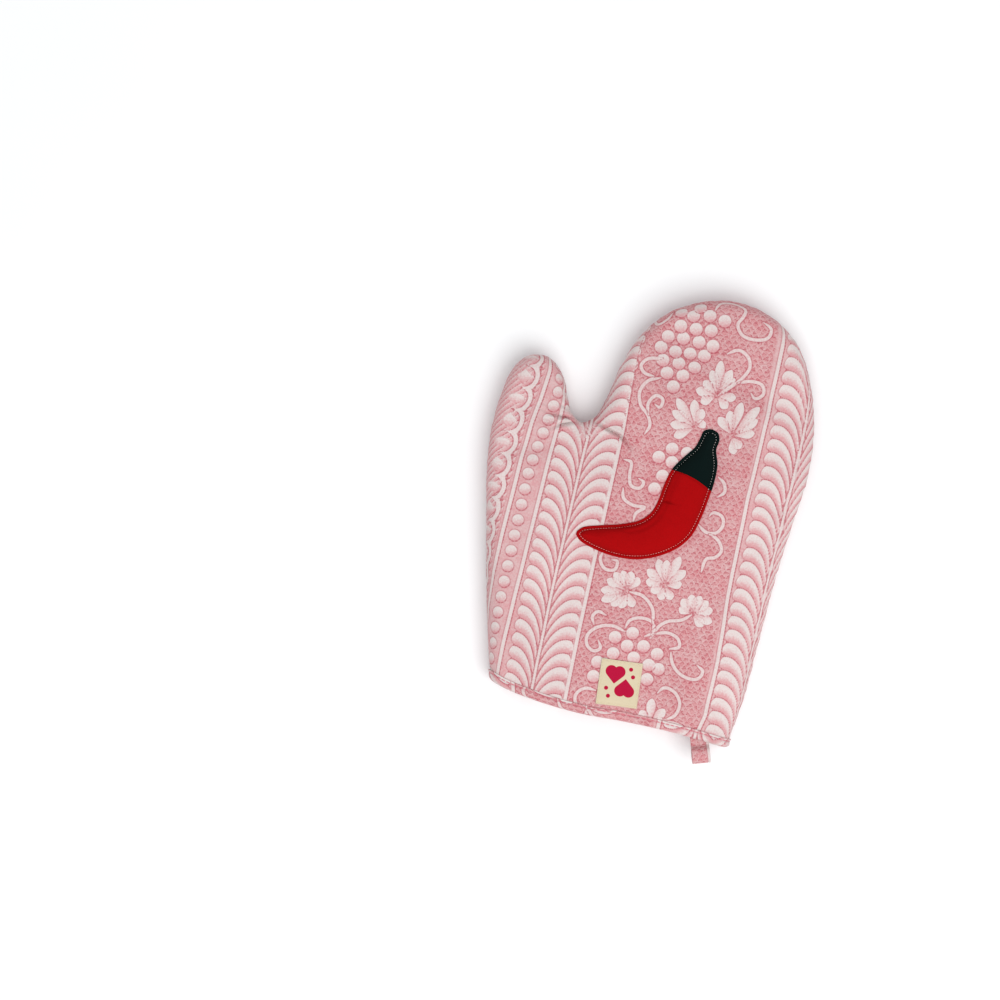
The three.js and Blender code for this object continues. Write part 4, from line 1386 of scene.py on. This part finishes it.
class MITT_OT_lining(bpy.types.Operator):
    """Adds the plain lining of both panels"""

    bl_idname = "mitt.lining"
    bl_label = "Add the Lining"

    def execute(self, context):
        colours = context.scene.mitt_colours
        plan = Plan(CUFF_START, 420, 7, 2.0, 3.0)
        material = plain_cotton("Lining cotton", colours.lining, 0.55, 0.1)
        for side in (1, -1):
            plans = (plan, plan)
            add_layer(side, "lining", plans, LINING_DEPTHS, material)
        return {"FINISHED"}


class MITT_OT_binding(bpy.types.Operator):
    """Adds the cuff's binding and its row of stitches"""

    bl_idname = "mitt.binding"
    bl_label = "Bind the Cuff"

    def execute(self, context):
        colours, sizes = context.scene.mitt_colours, context.scene.mitt_sizes
        stations = (170, 30)
        section = binding_section()
        lines = [mouth(inset, depth, stations) for inset, depth in section]
        around = len(lines[0])
        along = lengths(lines[7])
        swell = np.sin(along * math.tau / 3.4) * 0.1 + 0.12 * np.sin(along * math.tau / 17)
        for (inset, depth), line in zip(section, lines):
            if depth < 0 and 2 < inset < 6.2:
                off = line[:, 2] - SEAM_Z
                line[:, 2] += swell * np.sign(off) * smoothstep(0, 6, np.abs(off))
        points = np.vstack(lines)
        binding = new_mesh("binding_of_cuff", points, lattice(len(lines), around, True, True))
        outward(binding)
        whole = along[-1]
        # The strip's print runs the same way on the back as on the front
        around_cloth = np.tile(np.minimum(along, (whole - along) * 0.97 + 6), len(lines))
        down = np.repeat(lengths(np.array([[*pair, 0] for pair in section])), around)
        print_on(binding, np.column_stack([around_cloth * 0.93 - 71, 58 + down]))
        link_once(binding, printed_cotton())
        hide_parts("cuff_binding")
        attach(binding, "hand")
        groove = mouth(BINDING_STITCH, -0.42, stations)
        ups = groove - mouth(BINDING_STITCH, 1.0, stations)
        closed = np.vstack([groove, groove[:1]])
        centres, ways = along_line(closed, 3.4)
        nearest = np.searchsorted(lengths(closed), np.arange(len(centres)) * 3.4).clip(0, len(ups) - 1)
        thread = stitches("stitches_of_cuff", centres, ways, ups[nearest], 2.9, sizes.thread)
        link_once(thread, plain_cotton("Rose thread", colours.rose_thread, 0.4, 0.2, 0.7, 0.0001))
        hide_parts("cuff_binding_stitching")
        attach(thread, "hand")
        return {"FINISHED"}


class MITT_OT_applique(bpy.types.Operator):
    """Adds the padded chilli: pod, cap, wadding and stitches"""

    bl_idname = "mitt.applique"
    bl_label = "Add the Chilli"

    def execute(self, context):
        colours, sizes = context.scene.mitt_colours, context.scene.mitt_sizes
        red = plain_cotton("Red cotton", colours.red, 0.5, 0.0, 0.95, gloss=0.06)
        green = plain_cotton("Green cotton", colours.green, 0.5, 0.0, 0.95, gloss=0.06)
        pod = chilli_piece("pod_of_chilli", 0.0, 1.012, 236, 60, 0.0, 0.06, 0.0)
        cap = chilli_piece("cap_of_chilli", 1.0, 2.0, 76, 60, 0.0, 0.06, -0.14)
        padding = chilli_piece("wadding_of_chilli", 0.3, 1.75, 60, 16, 3.4, 0.5, 1.9)
        for piece, slot, node, material in (
            (pod, "red_cotton", "applique_pod", red),
            (cap, "green_cotton", "applique_cap", green),
            (padding, "wadding", "applique_wadding", plain_cotton("Cotton wadding", colours.wadding)),
        ):
            link_once(piece, material)
            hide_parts(node)
            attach(piece, "hand")
        thread = self.sew(sizes.thread)
        link_once(thread, self.thread_cotton(colours))
        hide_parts("applique_stitching")
        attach(thread, "hand")
        return {"FINISHED"}

    def sew(self, width):
        """The row of stitches round the chilli, marked where it crosses the cap."""
        inner, outer = chilli_edges(0.0, 2.0, 420)
        lines = []
        for line, other in ((outer, inner), (inner, outer)):
            along = np.gradient(line, axis=0)
            square = np.column_stack([-along[:, 1], along[:, 0]])
            square /= np.linalg.norm(square, axis=1)[:, None]
            facing = np.sign(np.sum(square * (other - line), axis=1))
            moved = line + square * (facing * CHILLI_STITCH)[:, None]
            clear = to_path(moved, _chilli_rim)[0] > CHILLI_STITCH - 0.25
            lines.append(moved[clear])
        found = []
        for line in lines:
            base = place_on(line, 1)
            base[:, 2] += chilli_height(line) + 0.24
            found.append(along_line(base, 1.8, 0.6))
        centres, ways = (np.vstack(part) for part in zip(*found))
        ups = np.tile([0.0, 0.0, 1.0], (len(centres), 1))
        thread = stitches("stitches_of_chilli", centres, ways, ups, 1.1, width * 0.82)
        on_cap = centres[:, 1] > np.interp(centres[:, 0], *CAP_EDGE.T) - 0.5
        put(thread, "motif", np.repeat(on_cap, len(thread.data.vertices) // len(centres)))
        return thread

    def thread_cotton(self, colours):
        """White thread, stained by the red cotton that it is pulled down into."""
        material, nodes = new_material("White thread")
        metres = nodes.add("ShaderNodeTexCoord").outputs["Object"]
        inputs = {"Place": nodes.millimetres(metres, 0.0), "Pitch": 0.4, "Slubs": 0.8}
        weave = nodes.group(shared("Plain weave", weave_group), inputs)
        colour = nodes.mix(nodes.value("motif"), (*colours.stained_thread, 1), (*colours.white_thread, 1))
        return finish_cloth(material, nodes, colour, weave, 0.0001, 0.7, 0.1, colours.white_thread)


class MITT_OT_label(bpy.types.Operator):
    """Adds the sewn-on label and its stitches"""

    bl_idname = "mitt.label"
    bl_label = "Add the Label"

    def execute(self, context):
        colours, sizes = context.scene.mitt_colours, context.scene.mitt_sizes
        columns, rows = 57, 63
        x = np.linspace(-LABEL_SIZE[0] / 2, LABEL_SIZE[0] / 2, columns)
        y = np.linspace(-LABEL_SIZE[1] / 2, LABEL_SIZE[1] / 2, rows)
        own = np.stack(np.meshgrid(x, y, indexing="xy"), axis=-1).reshape(-1, 2)
        bottom, top = self.place(own, 0.1), self.place(own, 0.5)
        label = closed_sheet("cotton_label", top, bottom, rows, columns)
        put(label, "motif", np.tile(heart_and_dots(own), 2))
        link_once(label, label_cotton())
        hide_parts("label")
        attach(label, "hand")
        half = np.array(LABEL_SIZE) / 2 - 1.1
        corners = np.array([(-1, -1), (1, -1), (1, 1), (-1, 1), (-1, -1)]) * half
        line = self.place(evenly(corners, 0.3), 0.78)
        centres, ways = along_line(line, 2.4, 0.8)
        ups = np.tile([0.0, 0.0, 1.0], (len(centres), 1))
        thread = stitches("stitches_of_label", centres, ways, ups, 1.3, sizes.thread * 0.8)
        link_once(thread, plain_cotton("Cream thread", brighter(colours.label, 1.15), 0.4, 0.2, 0.7, 0.0001))
        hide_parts("label_stitching")
        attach(thread, "hand")
        return {"FINISHED"}

    def place(self, own, lift):
        """Label points at their turned place on the cover, lift mm above it."""
        c, s = math.cos(LABEL_TURN), math.sin(LABEL_TURN)
        plan = np.column_stack([own[:, 0] * c - own[:, 1] * s, own[:, 0] * s + own[:, 1] * c]) + LABEL_AT
        points = place_on(plan, 1)
        edge = np.minimum(LABEL_SIZE[0] / 2 - np.abs(own[:, 0]), LABEL_SIZE[1] / 2 - np.abs(own[:, 1]))
        sewn = np.exp(-(((edge - 1.1) / 0.5) ** 2))
        points[:, 2] += lift + 0.25 + 0.12 * waves(own, 11, 5) - 0.22 * sewn
        return points


class MITT_OT_loop(bpy.types.Operator):
    """Adds the hanging loop, sewn into the cuff by both ends"""

    bl_idname = "mitt.loop"
    bl_label = "Add the Hanging Loop"

    def execute(self, context):
        centre, radius, half = 6.0, 5.35, 0.6
        angles = np.linspace(math.radians(-128), math.radians(128), 40)
        bend = np.column_stack([centre + radius * np.cos(angles), radius * np.sin(angles)])
        ends = np.array([(-12.5, -0.68), (-8, -0.68), (-3, -0.68), (0, -0.72)])
        path = np.vstack([ends, bend, ends[::-1] * [1, -1]])
        path = evenly(curve_through(path, 0.6), count=110)
        along = np.gradient(path, axis=0)
        along /= np.linalg.norm(along, axis=1)[:, None]
        square = np.column_stack([along[:, 1], -along[:, 0]])
        wide = LOOP_WIDTH / 2
        section = [(-wide, 0.0), (-wide + 0.12, half * 0.7), (-wide + 0.5, half)]
        for w in np.linspace(-wide + 0.9, wide - 0.9, 19):
            sewn = abs(abs(w) - wide + 1.5) < 0.3
            section.append((w, half - (0.22 if sewn else 0.0)))
        section += [(wide - 0.5, half), (wide - 0.12, half * 0.7), (wide, 0.0)]
        section += [(w, -h) for w, h in section[-2:0:-1]]
        width_way = np.array([math.cos(LOOP_LEAN), math.sin(LOOP_LEAN), 0])
        out_way = np.array([math.sin(LOOP_LEAN), -math.cos(LOOP_LEAN), 0])
        rows = []
        for (out, up), (nx, ny) in zip(path, square):
            for w, h in section:
                place = np.array(LOOP_PIVOT) + (out + nx * h) * out_way + w * width_way
                rows.append(place + [0, 0, up + ny * h])
        count = len(section)
        faces = lattice(len(path), count, False, True)
        last = (len(path) - 1) * count
        caps = [(0, k, k + 1) for k in range(1, count - 1)]
        caps += [(last, last + k + 1, last + k) for k in range(1, count - 1)]
        strap = outward(new_mesh("strap_of_loop", np.array(rows), np.vstack([faces, caps])))
        run = np.repeat(lengths(path), count)
        off = np.tile([w for w, h in section], len(path))
        print_on(strap, np.column_stack([58 + off, 66 + run]))
        link_once(strap, printed_cotton())
        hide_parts("hanging_loop", "hanging_loop_sewn_ends")
        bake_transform(strap)
        return {"FINISHED"}


class MITT_OT_stage(bpy.types.Operator):
    """Adds the floor, the lights and the camera"""

    bl_idname = "mitt.stage"
    bl_label = "Set the Stage"

    def execute(self, context):
        bpy.ops.object.select_all(action="DESELECT")
        bpy.ops.mesh.primitive_plane_add(size=8.0, location=(0, 0, -0.0004))
        floor = context.object
        floor.name = "pale_floor"
        bpy.ops.object.transform_apply(location=True, rotation=True, scale=True)
        material, nodes = new_material("Pale floor")
        metres = nodes.add("ShaderNodeTexCoord").outputs["Object"]
        cloud = nodes.step(nodes.noise(metres, 3.0), 0.3, 0.7, 0.9, 0.93)
        shade = nodes.add("ShaderNodeCombineColor", {0: cloud, 1: cloud, 2: cloud}).outputs[0]
        shader = nodes.add("ShaderNodeBsdfPrincipled", {"Base Color": shade})
        shader.inputs["Roughness"].default_value = 0.9
        nodes.add("ShaderNodeOutputMaterial", {"Surface": shader.outputs["BSDF"]})
        link_once(floor, material)
        context.scene.view_settings.view_transform = "Standard"
        self.light(context)
        self.camera(context, context.scene.mitt_sizes.camera_height)
        return {"FINISHED"}

    def light(self, context):
        """Pale air all round, a broad key light and a weaker one across from it."""
        world = bpy.data.worlds.new("Soft room")
        context.scene.world = world
        world.use_nodes = True
        nodes = Nodes(world.node_tree)
        air = nodes.add("ShaderNodeBackground", {"Color": (0.96, 0.98, 1.0, 1), "Strength": 0.62})
        nodes.add("ShaderNodeOutputWorld", {"Surface": air.outputs[0]})
        for name, place, size, power in (
            ("key_light", (0.58, -0.66, 1.6), 1.6, 25.0),
            ("fill_light", (-0.9, 0.7, 1.7), 1.8, 5.0),
        ):
            lamp = bpy.data.lights.new(name, "AREA")
            lamp.energy = power
            lamp.size = size
            thing = bpy.data.objects.new(name, lamp)
            context.scene.collection.objects.link(thing)
            thing.location = place
            thing.rotation_euler = (-Vector(place)).to_track_quat("-Z", "Y").to_euler()

    def camera(self, context, height):
        """Looks straight down, with a lens that keeps the same width in view at any height."""
        lens = bpy.data.cameras.new("straight_down")
        lens.sensor_width = 36.0
        lens.lens = 36.0 * height / FRAME_WIDTH
        thing = bpy.data.objects.new("straight_down", lens)
        context.scene.collection.objects.link(thing)
        up = Vector(FRAME_UP).normalized()
        back = Vector((0, 0, 1))
        side = up.cross(back)
        turn = Matrix((side, up, back)).transposed().to_4x4()
        target = row(*FRAME_CENTRE, SEAM_Z)
        thing.matrix_world = Matrix.Translation(target + back * height) @ turn
        context.scene.camera = thing


STEPS = (
    MITT_OT_settle, MITT_OT_covers, MITT_OT_wadding, MITT_OT_lining, MITT_OT_binding, MITT_OT_applique,
    MITT_OT_label, MITT_OT_loop, MITT_OT_stage,
)


class MITT_PT_panel(bpy.types.Panel):
    """Lists the steps of the mitt, its sizes and its colours"""

    bl_idname = "MITT_PT_panel"
    bl_label = "Oven Mitt"
    bl_space_type = "VIEW_3D"
    bl_region_type = "UI"
    bl_category = "Oven mitt"

    def draw(self, context):
        for group in (context.scene.mitt_sizes, context.scene.mitt_colours):
            column = self.layout.column(align=True)
            for name in group.bl_rna.properties.keys():
                if name not in ("rna_type", "name"):
                    column.prop(group, name)
        column = self.layout.column(align=True)
        for step in STEPS:
            column.operator(step.bl_idname)


CLASSES = (MittSizes, MittColours, *STEPS, MITT_PT_panel)


def register():
    """Makes the classes and the scene's settings known to Blender."""
    for cls in CLASSES:
        bpy.utils.register_class(cls)
    bpy.types.Scene.mitt_sizes = bpy.props.PointerProperty(type=MittSizes)
    bpy.types.Scene.mitt_colours = bpy.props.PointerProperty(type=MittColours)


def unregister():
    """Takes them away again."""
    del bpy.types.Scene.mitt_colours
    del bpy.types.Scene.mitt_sizes
    for cls in reversed(CLASSES):
        bpy.utils.unregister_class(cls)


def main():
    """Builds every piece and the stage, in order."""
    register()
    for step in STEPS:
        space, name = step.bl_idname.split(".")
        getattr(getattr(bpy.ops, space), name)()


if __name__ == "__main__":
    main()
